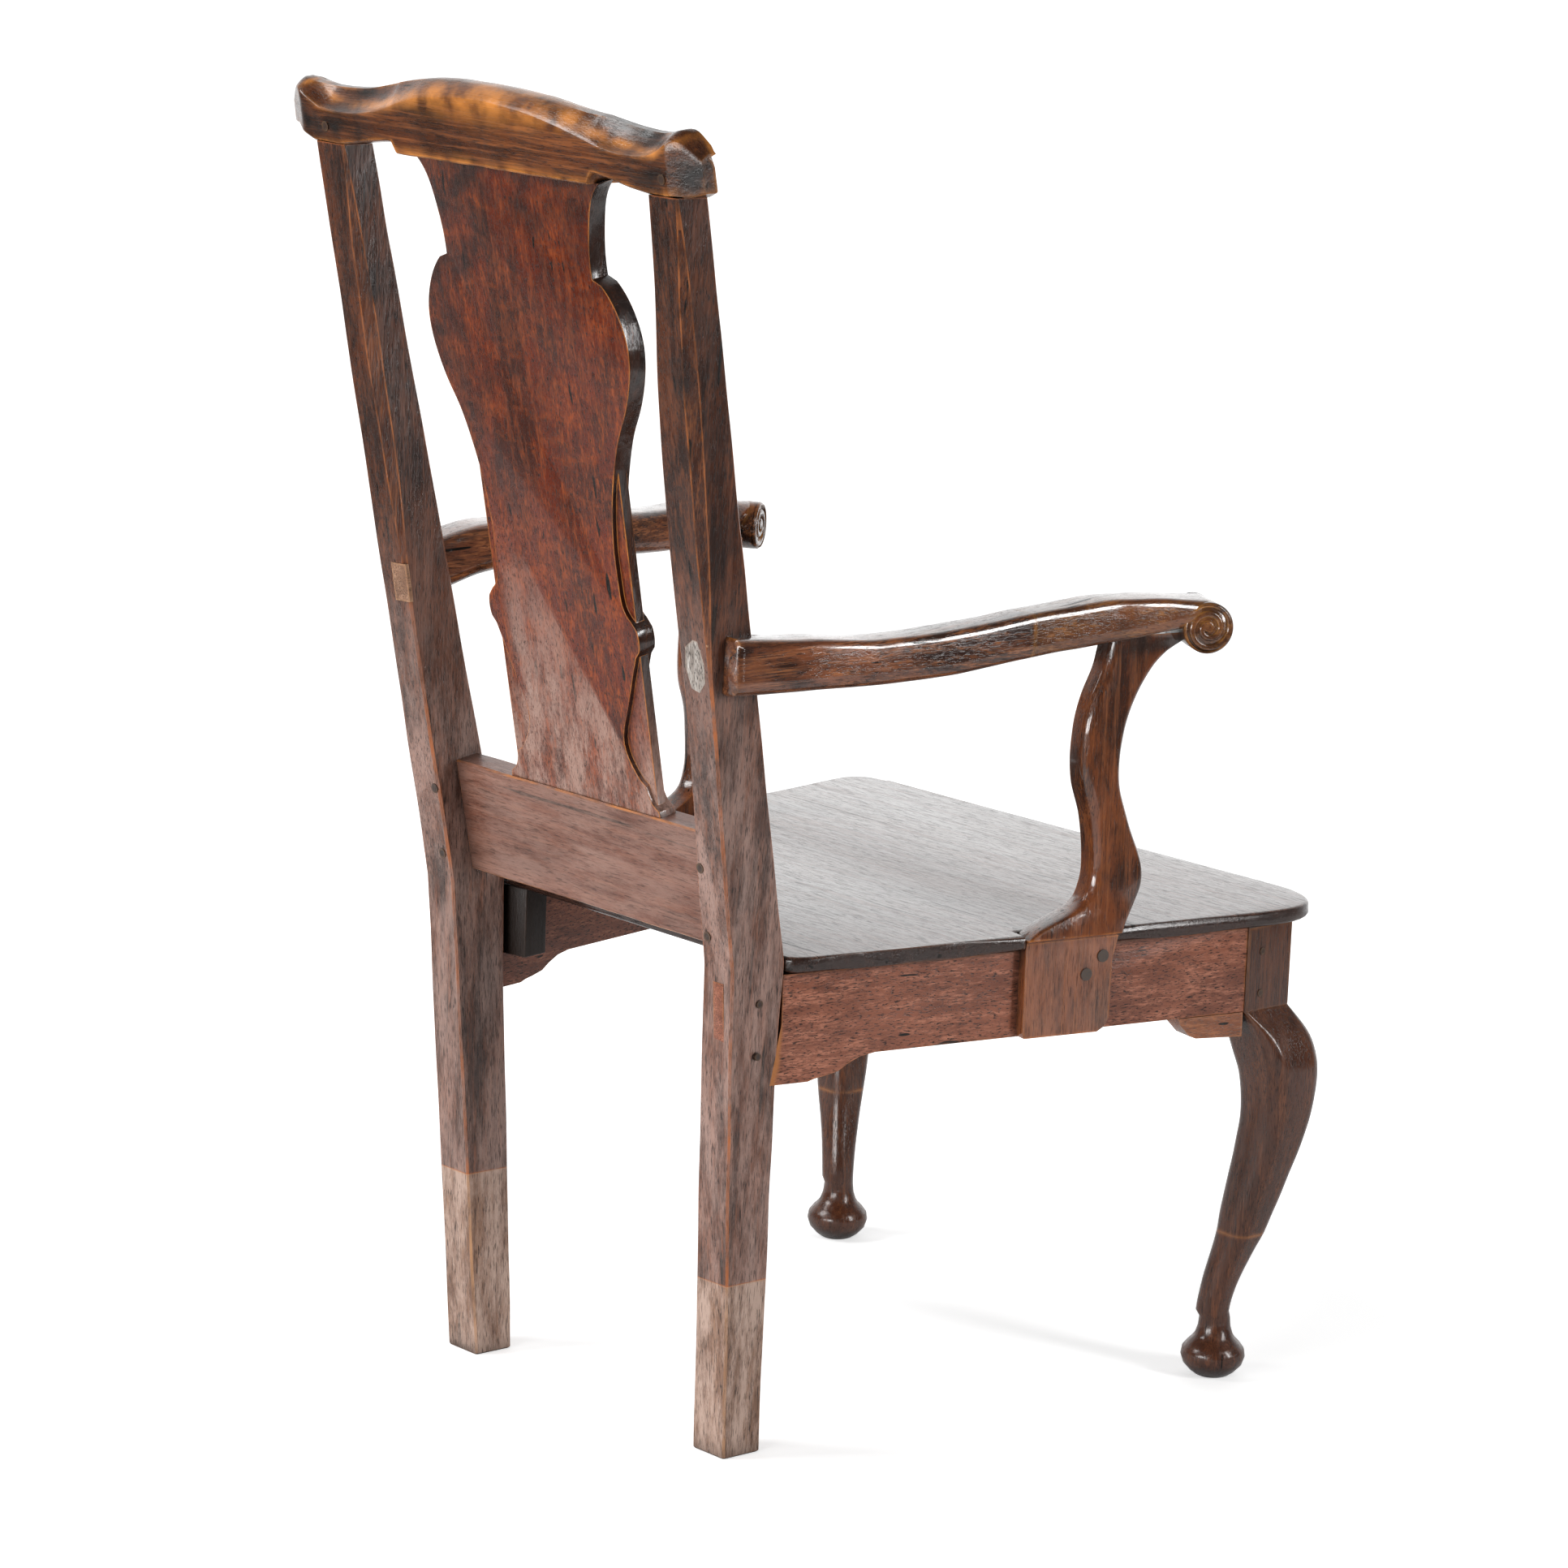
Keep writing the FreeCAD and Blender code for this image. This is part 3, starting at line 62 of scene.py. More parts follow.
def eased(rows, at):
    """The same on a rounded course through the rows, for curves cut by eye."""
    count = len(rows)
    place = 0
    while place < count - 2 and at > rows[place + 1][0]:
        place += 1
    near = [rows[max(0, min(count - 1, place + step))] for step in (-1, 0, 1, 2)]
    width = near[2][0] - near[1][0]
    part = max(0.0, min(1.0, (at - near[1][0]) / width))
    values = []
    for column in range(1, len(rows[0])):
        p0, p1, p2, p3 = (row[column] for row in near)
        m1 = (p2 - p0) / max(1e-6, near[2][0] - near[0][0]) * width
        m2 = (p3 - p1) / max(1e-6, near[3][0] - near[1][0]) * width
        values.append((2 * part ** 3 - 3 * part ** 2 + 1) * p1 + (part ** 3 - 2 * part ** 2 + part) * m1
                      + (-2 * part ** 3 + 3 * part ** 2) * p2 + (part ** 3 - part ** 2) * m2)
    return values


def finished(name, bm, nodes, smooth_angle=38):
    """Closes a piece: normals outward, soft shading between its arrises, riding on the chair."""
    bmesh.ops.remove_doubles(bm, verts=bm.verts, dist=0.00002)
    bmesh.ops.recalc_face_normals(bm, faces=bm.faces)
    mesh = bpy.data.meshes.new(name)
    bm.to_mesh(mesh)
    bm.free()
    mesh.shade_smooth()
    mesh.set_sharp_from_angle(angle=math.radians(smooth_angle))
    piece = bpy.data.objects.new(name, mesh)
    bpy.context.scene.collection.objects.link(piece)
    if nodes:
        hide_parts(*nodes)
    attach(piece, "root")
    return piece


def marked(piece, name, value):
    """Stores a value on every point of a piece: its wear, soot and paleness, with painted highlight, shade
    and light mixed in.
    """
    layer = piece.data.attributes.new(name, "FLOAT", "POINT")
    for vert in piece.data.vertices:
        layer.data[vert.index].value = value(vert.co)


def ring_of(bm, points):
    """One closed ring of edges through the points."""
    verts = [bm.verts.new(point) for point in points]
    return [bm.edges.new((verts[n], verts[(n + 1) % len(verts)])) for n in range(len(verts))]


def joined(bm, rings):
    """Skins a run of rings that have as many points each, and closes both ends."""
    loops = [ring_of(bm, ring) for ring in rings]
    for one, two in zip(loops, loops[1:]):
        bmesh.ops.bridge_loops(bm, edges=one + two)
    bmesh.ops.holes_fill(bm, edges=loops[0], sides=0)
    bmesh.ops.holes_fill(bm, edges=loops[-1], sides=0)


# The tool marks are drawn from one fixed seed, so they are the same at each run.
noise.seed_set(1740)


def hand_cut(point, amount, size):
    """Moves a point a fraction of a millimetre, as a surface left from the plane and spokeshave."""
    shift = noise.noise_vector(Vector(point) / size)
    return Vector(point) + shift * amount


def fed(tree, socket, value):
    """Gives a socket a number, a colour or another node's output."""
    if isinstance(value, (int, float, tuple)):
        socket.default_value = value
    else:
        tree.links.new(value, socket)


def sum_of(tree, operation, *values, clamp=False):
    """One sum of numbers or other nodes' values."""
    node = tree.nodes.new("ShaderNodeMath")
    node.operation = operation
    node.use_clamp = clamp
    for socket, value in zip(node.inputs, values):
        fed(tree, socket, value)
    return node.outputs[0]


def graded(tree, value, low, high, to_low=0.0, to_high=1.0, curve="LINEAR"):
    """A value spread from one range over another."""
    node = tree.nodes.new("ShaderNodeMapRange")
    node.interpolation_type = curve
    for label, number in (("From Min", low), ("From Max", high), ("To Min", to_low), ("To Max", to_high)):
        node.inputs[label].default_value = number
    tree.links.new(value, node.inputs["Value"])
    return node.outputs["Result"]


def clouds(tree, vector, size, detail, roughness=0.5):
    """Soft irregular patches from 0 to 1."""
    node = tree.nodes.new("ShaderNodeTexNoise")
    for label, number in (("Scale", size), ("Detail", detail), ("Roughness", roughness)):
        node.inputs[label].default_value = number
    tree.links.new(vector, node.inputs["Vector"])
    return node.outputs["Fac"]


def tinted(tree, mask, one, two):
    """The first colour, and the second one where the mask is full."""
    node = tree.nodes.new("ShaderNodeMix")
    node.data_type = "RGBA"
    tree.links.new(mask, node.inputs["Factor"])
    for socket, value in zip([s for s in node.inputs if s.type == "RGBA"], (one, two)):
        fed(tree, socket, value)
    return [s for s in node.outputs if s.type == "RGBA"][0]


def group_of(name, inputs, outputs):
    """An empty node group with its named inputs and outputs."""
    group = bpy.data.node_groups.new(name, "ShaderNodeTree")
    for label, kind, default in inputs:
        socket = group.interface.new_socket(name=label, in_out="INPUT", socket_type="NodeSocket" + kind)
        if default is not None:
            socket.default_value = default
    for label, kind in outputs:
        group.interface.new_socket(name=label, in_out="OUTPUT", socket_type="NodeSocket" + kind)
    inside = group.nodes.new("NodeGroupInput").outputs
    outside = group.nodes.new("NodeGroupOutput").inputs
    return group, inside, outside


PORE = (0.008, 0.003, 0.002, 1)
CRACK = (0.004, 0.002, 0.001, 1)


def wood_figure():
    """Oak grain drawn out along the third axis of its vector: broad tone, streaks and open pores."""
    group, inside, outside = group_of(
        "oak_figure",
        (("Vector", "Vector", None), ("Dark", "Color", None), ("Middle", "Color", None),
         ("Light", "Color", None), ("Streaks", "Float", 0.5), ("Pores", "Float", 0.6),
         ("Patches", "Float", 0.5), ("Flecks", "Float", 0.0)),
        (("Color", "Color"), ("Height", "Float"), ("Roughness", "Float"), ("Paleness", "Float"),
         ("Gloss", "Float")))

    def stretched(along, size, detail, roughness=0.55):
        mapping = group.nodes.new("ShaderNodeMapping")
        mapping.inputs["Scale"].default_value = (1, 1, along)
        group.links.new(inside["Vector"], mapping.inputs["Vector"])
        return clouds(group, mapping.outputs["Vector"], size, detail, roughness)

    def spread(value, low, high, to_low=0.0, to_high=1.0):
        return graded(group, value, low, high, to_low, to_high, "SMOOTHSTEP")

    def times(one, two):
        return sum_of(group, "MULTIPLY", one, two)

    patches = spread(stretched(0.40, 22, 7, 0.70), 0.40, 0.60)
    streaks = spread(stretched(0.035, 130, 6, 0.72), 0.42, 0.62)
    lines = spread(stretched(0.022, 620, 3), 0.44, 0.58)
    pores = spread(stretched(0.07, 1150, 2), 0.55, 0.64)
    cracks = spread(stretched(0.03, 120, 1), 0.71, 0.73)
    flecks = spread(stretched(3.2, 26, 4, 0.6), 0.50, 0.66)
    colour = tinted(group, times(patches, inside["Patches"]), inside["Middle"], inside["Dark"])
    light = times(times(streaks, inside["Streaks"]), spread(lines, 0.0, 1.0, 0.25, 1.0))
    colour = tinted(group, light, colour, inside["Light"])
    colour = tinted(group, times(flecks, inside["Flecks"]), colour, inside["Light"])
    dark_pore = times(pores, inside["Pores"])
    colour = tinted(group, dark_pore, colour, PORE)
    group.links.new(tinted(group, cracks, colour, CRACK), outside["Color"])
    paleness = spread(stretched(0.22, 42, 8, 0.78), 0.36, 0.62, 0.15, 1.45)
    group.links.new(times(paleness, spread(dark_pore, 0.0, 1.0, 1.0, 0.3)), outside["Paleness"])
    dull = spread(stretched(0.05, 420, 3, 0.6), 0.55, 0.62, 1.0, 0.62)
    in_pores = times(spread(dark_pore, 0.0, 1.0, 1.0, 0.15), spread(cracks, 0.0, 1.0, 1.0, 0.1))
    group.links.new(times(dull, in_pores), outside["Gloss"])
    rolling = sum_of(group, "MULTIPLY_ADD", patches, 1.6, times(lines, 0.25))
    group.links.new(sum_of(group, "SUBTRACT", rolling, pores), outside["Height"])
    group.links.new(spread(streaks, 0.0, 1.0, -0.04, 0.05), outside["Roughness"])
    return group


def wear_and_shade():
    """Two masks: where hands and cloths have rubbed an arris, with a painted highlight where one is
    marked, and painted shade, from ambient occlusion in the hollows and from the marked soot and shade.
    """
    group, inside, outside = group_of(
        "wear_and_shade",
        (("Edge Width", "Float", 0.004), ("Edge Gain", "Float", 4.0), ("Hollow Depth", "Float", 0.03),
         ("Handled And Highlight", "Float", 0.0), ("Soot And Shade", "Float", 0.0)),
        (("Rubbed And Highlight", "Float"), ("Shade And Grime", "Float")))
    rounded = group.nodes.new("ShaderNodeBevel")
    rounded.samples = 6
    group.links.new(inside["Edge Width"], rounded.inputs["Radius"])
    dot = group.nodes.new("ShaderNodeVectorMath")
    dot.operation = "DOT_PRODUCT"
    group.links.new(rounded.outputs["Normal"], dot.inputs[0])
    group.links.new(group.nodes.new("ShaderNodeNewGeometry").outputs["Normal"], dot.inputs[1])
    gain = sum_of(group, "MULTIPLY", sum_of(group, "SUBTRACT", 1.0, dot.outputs["Value"]),
                  inside["Edge Gain"])
    place = group.nodes.new("ShaderNodeTexCoord").outputs["Object"]
    gate = graded(group, clouds(group, place, 45, 5), 0.36, 0.62, 0.12)
    rubbed_and_highlight = sum_of(group, "MULTIPLY", sum_of(group, "ADD", gain, inside["Handled And Highlight"]), gate, clamp=True)
    group.links.new(rubbed_and_highlight, outside["Rubbed And Highlight"])
    # Painted shade: ambient occlusion darkens hollows and creases, and the marked soot and shade is added
    # to it.
    hollow = group.nodes.new("ShaderNodeAmbientOcclusion")
    hollow.samples = 6
    group.links.new(inside["Hollow Depth"], hollow.inputs["Distance"])
    shade_and_grime = graded(group, hollow.outputs["AO"], 0.75, 0.30)
    soot_and_shade = sum_of(group, "MULTIPLY_ADD", inside["Soot And Shade"], sum_of(group, "SUBTRACT", 1.35, gate), shade_and_grime,
                  clamp=True)
    group.links.new(soot_and_shade, outside["Shade And Grime"])
    return group


FIGURE = wood_figure()
WEAR_AND_SHADE = wear_and_shade()
ALONG = {"x": (0, math.pi / 2, 0), "y": (math.pi / 2, 0, 0), "z": (0, 0, 0)}
# Near-black colour of the painted shade and the soot.
SHADE_AND_SOOT = (0.008, 0.005, 0.004)
GRAIN_DEEP = 0.0006
BARE_SHINE = 0.34


def waxed_oak(name, dark, middle, light, worn, grain="z", streaks=0.5, pores=0.6, patches=0.5,
              edge_width=0.004, edge_gain=4.0, shade_and_grime=0.85, roughness=0.30, bump=0.25, wax=0.35,
              flecks=0.0, pale=(0.32, 0.19, 0.15), shine=0.16):
    """Old oak under wax: figure along the grain, rubbed edges, painted shade in the hollows, a soft shine.
    """
    made = bpy.data.materials.new(name)
    made.use_nodes = True
    tree = made.node_tree
    shader = tree.nodes["Principled BSDF"]

    def grouped(group, values):
        node = tree.nodes.new("ShaderNodeGroup")
        node.node_tree = group
        for label, value in values:
            node.inputs[label].default_value = value
        return node

    def by_hand(label):
        node = tree.nodes.new("ShaderNodeAttribute")
        node.attribute_name = label
        return node.outputs["Fac"]

    mapping = tree.nodes.new("ShaderNodeMapping")
    mapping.inputs["Rotation"].default_value = ALONG[grain]
    tree.links.new(tree.nodes.new("ShaderNodeTexCoord").outputs["Object"], mapping.inputs["Vector"])
    figure = grouped(FIGURE, (("Dark", (*dark, 1)), ("Middle", (*middle, 1)), ("Light", (*light, 1)),
                              ("Streaks", streaks), ("Pores", pores), ("Patches", patches),
                              ("Flecks", flecks)))
    tree.links.new(mapping.outputs["Vector"], figure.inputs["Vector"])
    edges = grouped(WEAR_AND_SHADE, (("Edge Width", edge_width), ("Edge Gain", edge_gain)))
    # Arris wear, and the painted highlight on the crest's ridge, feed the rubbed mask.
    tree.links.new(sum_of(tree, "ADD", by_hand("rub_and_highlight"), by_hand("arris")), edges.inputs["Handled And Highlight"])
    # Marked soot and painted shade feed the shade mask.
    tree.links.new(by_hand("soot_and_shade"), edges.inputs["Soot And Shade"])
    # The pale mark: paler wood, and on the posts painted light lower down.
    pale_and_lit = sum_of(tree, "MULTIPLY", by_hand("pale"), figure.outputs["Paleness"], clamp=True)
    colour = figure.outputs["Color"]
    for mask, tone, amount in ((pale_and_lit, pale, 1.0), (edges.outputs["Rubbed And Highlight"], worn, 1.0),
                               (edges.outputs["Shade And Grime"], SHADE_AND_SOOT, shade_and_grime)):
        colour = tinted(tree, sum_of(tree, "MULTIPLY", mask, amount), colour, (*tone, 1))
    tree.links.new(colour, shader.inputs["Base Color"])
    tree.links.new(sum_of(tree, "ADD", figure.outputs["Roughness"], roughness), shader.inputs["Roughness"])
    relief = tree.nodes.new("ShaderNodeBump")
    relief.inputs["Strength"].default_value = bump
    relief.inputs["Distance"].default_value = GRAIN_DEEP
    tree.links.new(figure.outputs["Height"], relief.inputs["Height"])
    tree.links.new(relief.outputs["Normal"], shader.inputs["Normal"])
    tree.links.new(sum_of(tree, "MULTIPLY", figure.outputs["Gloss"], wax), shader.inputs["Coat Weight"])
    shader.inputs["Specular IOR Level"].default_value = BARE_SHINE
    shader.inputs["Coat Roughness"].default_value = shine
    return made


post_oak = waxed_oak("post_oak", (0.020, 0.007, 0.004), (0.085, 0.024, 0.009), (0.20, 0.060, 0.021),
                     (0.42, 0.12, 0.030), streaks=0.6, pores=0.9, patches=0.95, edge_width=0.0025,
                     edge_gain=5.0, wax=0.35, pale=(0.46, 0.30, 0.25))
chamfer_oak = waxed_oak("rubbed_chamfer_oak", (0.030, 0.009, 0.005), (0.10, 0.028, 0.010),
                        (0.24, 0.074, 0.022), (0.45, 0.14, 0.035), streaks=0.7, patches=0.9, pores=0.7,
                        edge_width=0.003, edge_gain=5.0, wax=0.3)
post_rows = [
    # height, outer half, inner half, back, front, chamfer
    (0.0, 0.1780, 0.1400, -0.0230, -0.0600, 0.0008),
    (0.330, 0.1905, 0.1546, -0.0040, -0.0520, 0.0008),
    (0.402, 0.1930, 0.1580, 0.0, -0.0540, 0.0010),
    (0.640, 0.2049, 0.1722, 0.0418, -0.0027, 0.0012),
    (0.680, 0.2069, 0.1746, 0.0488, 0.0059, 0.0035),
    (0.730, 0.2094, 0.1775, 0.0576, 0.0167, 0.0065),
    (0.850, 0.2155, 0.1847, 0.0787, 0.0425, 0.0085),
    (0.930, 0.2195, 0.1895, 0.0927, 0.0597, 0.0060),
    (1.000, 0.2230, 0.1920, 0.1050, 0.0750, 0.0006),
]
fuller_rows = {
    # height, how much wider than tapered straight, on the inner side
    1: [(0.0, 0.0), (0.60, 0.0), (0.70, 0.002), (0.85, 0.003), (0.95, 0.005), (1.0, 0.005)],
    -1: [(0.0, 0.0), (0.60, 0.0), (0.66, 0.003), (0.75, 0.0085), (0.85, 0.0090), (0.93, 0.005),
         (1.0, 0.003)]}
FRONT_ROUND = 0.0014
RUBBED_ROUND = 0.0009


def post_ring(side, height):
    """The section of a post at one height: an oblong, one back corner chamfered and the rest rubbed."""
    outer, inner, back, front, chamfer = between(post_rows, height)
    inner -= eased(fuller_rows[side], height)[0]
    inward, chamfer = (chamfer, RUBBED_ROUND) if side > 0 else (RUBBED_ROUND, chamfer)
    back += BACK_Y
    front += BACK_Y
    strip = 0.0007
    corners = [(outer, front + FRONT_ROUND), (outer, back - chamfer - strip),
               (outer - strip, back - chamfer), (outer - chamfer * 0.9, back - strip),
               (outer - chamfer * 0.9 - strip, back), (inner + inward * 0.9 + strip, back),
               (inner + inward * 0.9, back - strip), (inner + strip, back - inward),
               (inner, back - inward - strip), (inner, front + FRONT_ROUND),
               (inner + FRONT_ROUND, front), (outer - FRONT_ROUND, front)]
    return [hand_cut((side * x, y, height), 0.0007, 0.06) for x, y in corners]


def worn_corners(bm):
    """Marks the narrow strips along a post's corners, where the dark surface has worn off."""
    arris = bm.faces.layers.float.new("arris")
    for face in bm.faces:
        face.normal_update()
        longest = max(edge.calc_length() for edge in face.edges)
        if len(face.edges) == 4 and face.calc_area() < 0.0021 * longest:
            middle = face.calc_center_median()
            face[arris] = 0.25 + 1.1 * abs(noise.noise(middle * 13))


def post_pale_and_lit(co):
    """Painted light: the lower parts paler, over dry greyed wood; the upper ones dark with wax."""
    low = max(0.0, min(1.0, (0.72 - co.z) / 0.20))
    return (0.40 if co.x < 0 else 0.36) * low


TIP = {1: 0.155, -1: 0.144}
SIDE_NAME = {1: "left", -1: "right"}
for side in (1, -1):
    bm = bmesh.new()
    steps = 110
    levels = [TIP[side] + (POST_TOP_Z - TIP[side]) * n / steps for n in range(steps + 1)]
    joined(bm, [post_ring(side, level) for level in levels])
    for face in bm.faces:
        face.normal_update()
        if abs(face.normal.x) > 0.3 and face.normal.y > 0.35 and face.calc_center_median().z > 0.64:
            face.material_index = 1
    worn_corners(bm)
    post = finished("rear_post_" + SIDE_NAME[side] + "_dressed", bm, ["rear_post_" + SIDE_NAME[side]], 30)
    post.data.materials.append(post_oak)
    post.data.materials.append(chamfer_oak)
    marked(post, "pale", post_pale_and_lit)
    # Painted shade: the posts darken towards the top, unevenly, over the dark wax.
    marked(post, "soot_and_shade", lambda co: 0.55 * max(0.0, min(1.0, (co.z - 0.70) / 0.15))
           * (0.5 + noise.noise(Vector((co.x * 90, co.y * 90, co.z * 16)))))

# What is let into the posts' back faces: the end grain of the far arm's tenon, pale filler round the near
# arm's, and a thin fillet in the crack above it. Each lies all but flush, a shade off the old surface.
tenon_oak = waxed_oak("tenon_end_oak", (0.10, 0.050, 0.028), (0.24, 0.120, 0.070), (0.42, 0.25, 0.16),
                      (0.42, 0.22, 0.11), grain="y", streaks=0.8, pores=0.9, roughness=0.45, wax=0.05)
filler = waxed_oak("pale_filler", (0.16, 0.13, 0.11), (0.30, 0.26, 0.23), (0.55, 0.51, 0.47),
                   (0.30, 0.22, 0.17), streaks=0.9, pores=0.9, patches=0.9, roughness=0.6, wax=0.0)


def mend(name, material, corners, proud=0.0004):
    """A thin piece let into a post's back face; corners are across and up."""
    bm = bmesh.new()
    layers = []
    for depth in (0.003, -proud):
        layers.append([Vector((x, BACK_Y + between(post_rows, z)[2] - depth, z)) for x, z in corners])
    joined(bm, layers)
    piece = finished(name, bm, [], 30)
    piece.data.materials.append(material)


mend("arm_tenon_end", tenon_oak, ((0.1705, 0.634), (0.1895, 0.633), (0.190, 0.664), (0.171, 0.665)))
mend("arm_tenon_filler", filler, ((-0.181, 0.624), (-0.190, 0.622), (-0.198, 0.631), (-0.199, 0.645),
                                  (-0.196, 0.655), (-0.198, 0.662), (-0.188, 0.663), (-0.178, 0.656),
                                  (-0.176, 0.640)))
mend("crack_filler", tenon_oak, ((-0.1735, 0.6635), (-0.189, 0.6610), (-0.2045, 0.6600), (-0.2045, 0.6616),
                                 (-0.189, 0.6640), (-0.1735, 0.6655)), 0.0002)

# The rear feet: worn-out ends of the posts cut away and pieced with later oak, a shade lighter and drier,
# butted flat and dowelled.
foot_oak = waxed_oak("pieced_foot_oak", (0.060, 0.026, 0.014), (0.15, 0.066, 0.034),
                     (0.27, 0.14, 0.080), (0.42, 0.22, 0.11), streaks=0.8, pores=0.9, roughness=0.42,
                     wax=0.1, edge_width=0.003, pale=(0.44, 0.31, 0.25))
for side in (1, -1):
    bm = bmesh.new()
    steps = 24
    levels = [0.0, 0.0012] + [TIP[side] * n / steps for n in range(1, steps + 1)]
    rings = [post_ring(side, level) for level in levels]
    centre = sum(rings[0], Vector()) / len(rings[0])
    rings[0] = [Vector((*(centre + (point - centre) * 0.93).xy, 0)) for point in rings[0]]
    joined(bm, rings)
    worn_corners(bm)
    foot = finished("rear_foot_" + SIDE_NAME[side] + "_dressed", bm, ["rear_foot_" + SIDE_NAME[side]], 30)
    foot.data.materials.append(foot_oak)
    marked(foot, "pale", lambda co: 0.85 if co.x < 0 else 0.75)


# The splat: one quarter-sawn board with a vase outline, cusped shoulders and small stepped beaks,
# housed in the back rail below and the crest above. Reddish brown with rippled figure.
def hump(at, middle, width):
    """A smooth rise to one at the middle, gone beyond the width."""
    return math.exp(-((at - middle) / width) ** 2)


def softened(name, node, width, material, worn=0.9):
    """A copy of a sawn solid with its arrises rubbed round."""
    bm = bmesh.new()
    bm.from_mesh(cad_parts[node].data)
    bmesh.ops.remove_doubles(bm, verts=bm.verts, dist=0.00002)
    bmesh.ops.dissolve_limit(bm, angle_limit=math.radians(1.0), verts=bm.verts, edges=bm.edges)
    sharp = [edge for edge in bm.edges
             if len(edge.link_faces) == 2 and edge.calc_face_angle(0) > math.radians(30)]
    arris = bm.faces.layers.float.new("arris")
    rounds = bmesh.ops.bevel(bm, geom=sharp, offset=width, offset_type="OFFSET", segments=3,
                             profile=0.5, affect="EDGES", clamp_overlap=True, material=-1)
    for face in rounds["faces"]:
        face[arris] = worn * (0.3 + abs(noise.noise(face.calc_center_median() * 14)))
    piece = finished(name, bm, [node], 40)
    piece.data.materials.append(material)
    return piece


splat_oak = waxed_oak("splat_oak", (0.030, 0.006, 0.002), (0.115, 0.014, 0.002), (0.34, 0.068, 0.010),
                      (0.60, 0.21, 0.035), streaks=0.65, patches=0.75, pores=0.85, edge_width=0.0022,
                      edge_gain=7.0, shade_and_grime=0.9, flecks=0.25, wax=0.15)
splat = softened("splat_dressed", "splat", 0.0012, splat_oak, worn=1.2)
for vert in splat.data.vertices:
    waist = 1 - 0.14 * hump(vert.co.z, 0.557, 0.024)
    vert.co.x = vert.co.x * waist - 0.0085 * max(0.0, min(1.0, (vert.co.z - 0.52) / 0.40))
splat_edge_oak = waxed_oak("splat_edge_oak", (0.010, 0.004, 0.003), (0.030, 0.010, 0.005),
                           (0.10, 0.030, 0.010), (0.50, 0.17, 0.030), streaks=0.6, patches=0.9,
                           roughness=0.16, wax=0.9, edge_width=0.0015, edge_gain=3.0)
splat.data.materials.append(splat_edge_oak)
lean = Vector((0, math.cos(RAKE), -math.sin(RAKE)))
for face in splat.data.polygons:
    if abs(face.normal.dot(lean)) < 0.35:
        face.material_index = 1
# Painted shade: darker at the top, under the crest, and in a patch at one side around the middle height.
marked(splat, "soot_and_shade", lambda co: 0.75 * hump(co.z, 1.0, 0.13) * (0.7 + 0.3 * hump(co.x, 0.12, 0.12))
       + 0.6 * hump(co.x, 0.125, 0.04) * hump(co.z, 0.80, 0.15))


def bare_foot(co):
    """The foot of the splat has lost its wax below a ragged slanting line."""
    above = co.z - 0.560 - 0.22 * co.x + 0.012 * noise.noise(co * 45)
    return 0.85 / (1 + math.exp(above / 0.003))


marked(splat, "pale", bare_foot)

# The back rail: an oak board tenoned and pegged between the posts, leaning with them. Its back face is set
# in from theirs and its top carries the foot of the splat.
rail_oak = waxed_oak("back_rail_oak", (0.050, 0.017, 0.010), (0.13, 0.042, 0.024), (0.25, 0.100, 0.060),
                     (0.46, 0.16, 0.035), grain="x", streaks=0.6, edge_width=0.0025, roughness=0.36,
                     wax=0.2)
RAIL_BACK = 0.022
RAIL_THICK = 0.022
RAIL_LOW_EDGE = 0.004
RAIL_TOP_EDGE = 0.097


def raked(x, inward, up):
    """A place on the leaning back: inward from the posts' back face and up along it from the bend."""
    return Vector((x, BACK_Y - inward * math.cos(RAKE) + up * math.sin(RAKE),
                   BEND_Z + inward * math.sin(RAKE) + up * math.cos(RAKE)))


bm = bmesh.new()
RAIL_FRONT = RAIL_BACK + RAIL_THICK
ROUND = 0.0012
rail_section = ((RAIL_BACK, RAIL_LOW_EDGE + ROUND), (RAIL_BACK, (RAIL_LOW_EDGE + RAIL_TOP_EDGE) / 2),
                (RAIL_BACK, RAIL_TOP_EDGE - ROUND), (RAIL_BACK + ROUND, RAIL_TOP_EDGE),
                (RAIL_FRONT - ROUND, RAIL_TOP_EDGE), (RAIL_FRONT, RAIL_TOP_EDGE - ROUND),
                (RAIL_FRONT, RAIL_LOW_EDGE + ROUND), (RAIL_FRONT - ROUND, RAIL_LOW_EDGE),
                (RAIL_BACK + ROUND, RAIL_LOW_EDGE))
rings = []
for n in range(61):
    share = -1 + 2 * n / 60
    ring = []
    for inward, up in rail_section:
        reach = between(post_rows, raked(0, inward, up).z)[1] + 0.0006
        ring.append(hand_cut(raked(share * reach, inward, up), 0.0005, 0.05))
    rings.append(ring)
joined(bm, rings)
worn_corners(bm)
back_rail = finished("back_rail_dressed", bm, ["back_rail"], 30)
back_rail.data.materials.append(rail_oak)
marked(back_rail, "pale",
       lambda co: 0.30 + 0.3 * abs(noise.noise(Vector((co.x * 12, co.y * 60, co.z * 60)))))

# The seat rails: oak planks on edge, tenoned into the posts and front blocks and pegged. The side ones
# sweep down to a bracket at the post.
side_rail_oak = waxed_oak("side_rail_oak", (0.070, 0.020, 0.012), (0.24, 0.080, 0.044),
                          (0.48, 0.190, 0.115), (0.36, 0.13, 0.035), grain="y", streaks=0.7, pores=0.9,
                          roughness=0.36, wax=0.15)
softened("side_rail_left_dressed", "side_rail_left", 0.0010, side_rail_oak)
softened("side_rail_right_dressed", "side_rail_right", 0.0010, side_rail_oak)
front_rail_oak = waxed_oak("front_rail_oak", (0.025, 0.010, 0.006), (0.060, 0.023, 0.012),
                           (0.11, 0.045, 0.022), (0.28, 0.11, 0.035), grain="x", streaks=0.6)
softened("front_rail_dressed", "front_rail", 0.0010, front_rail_oak)

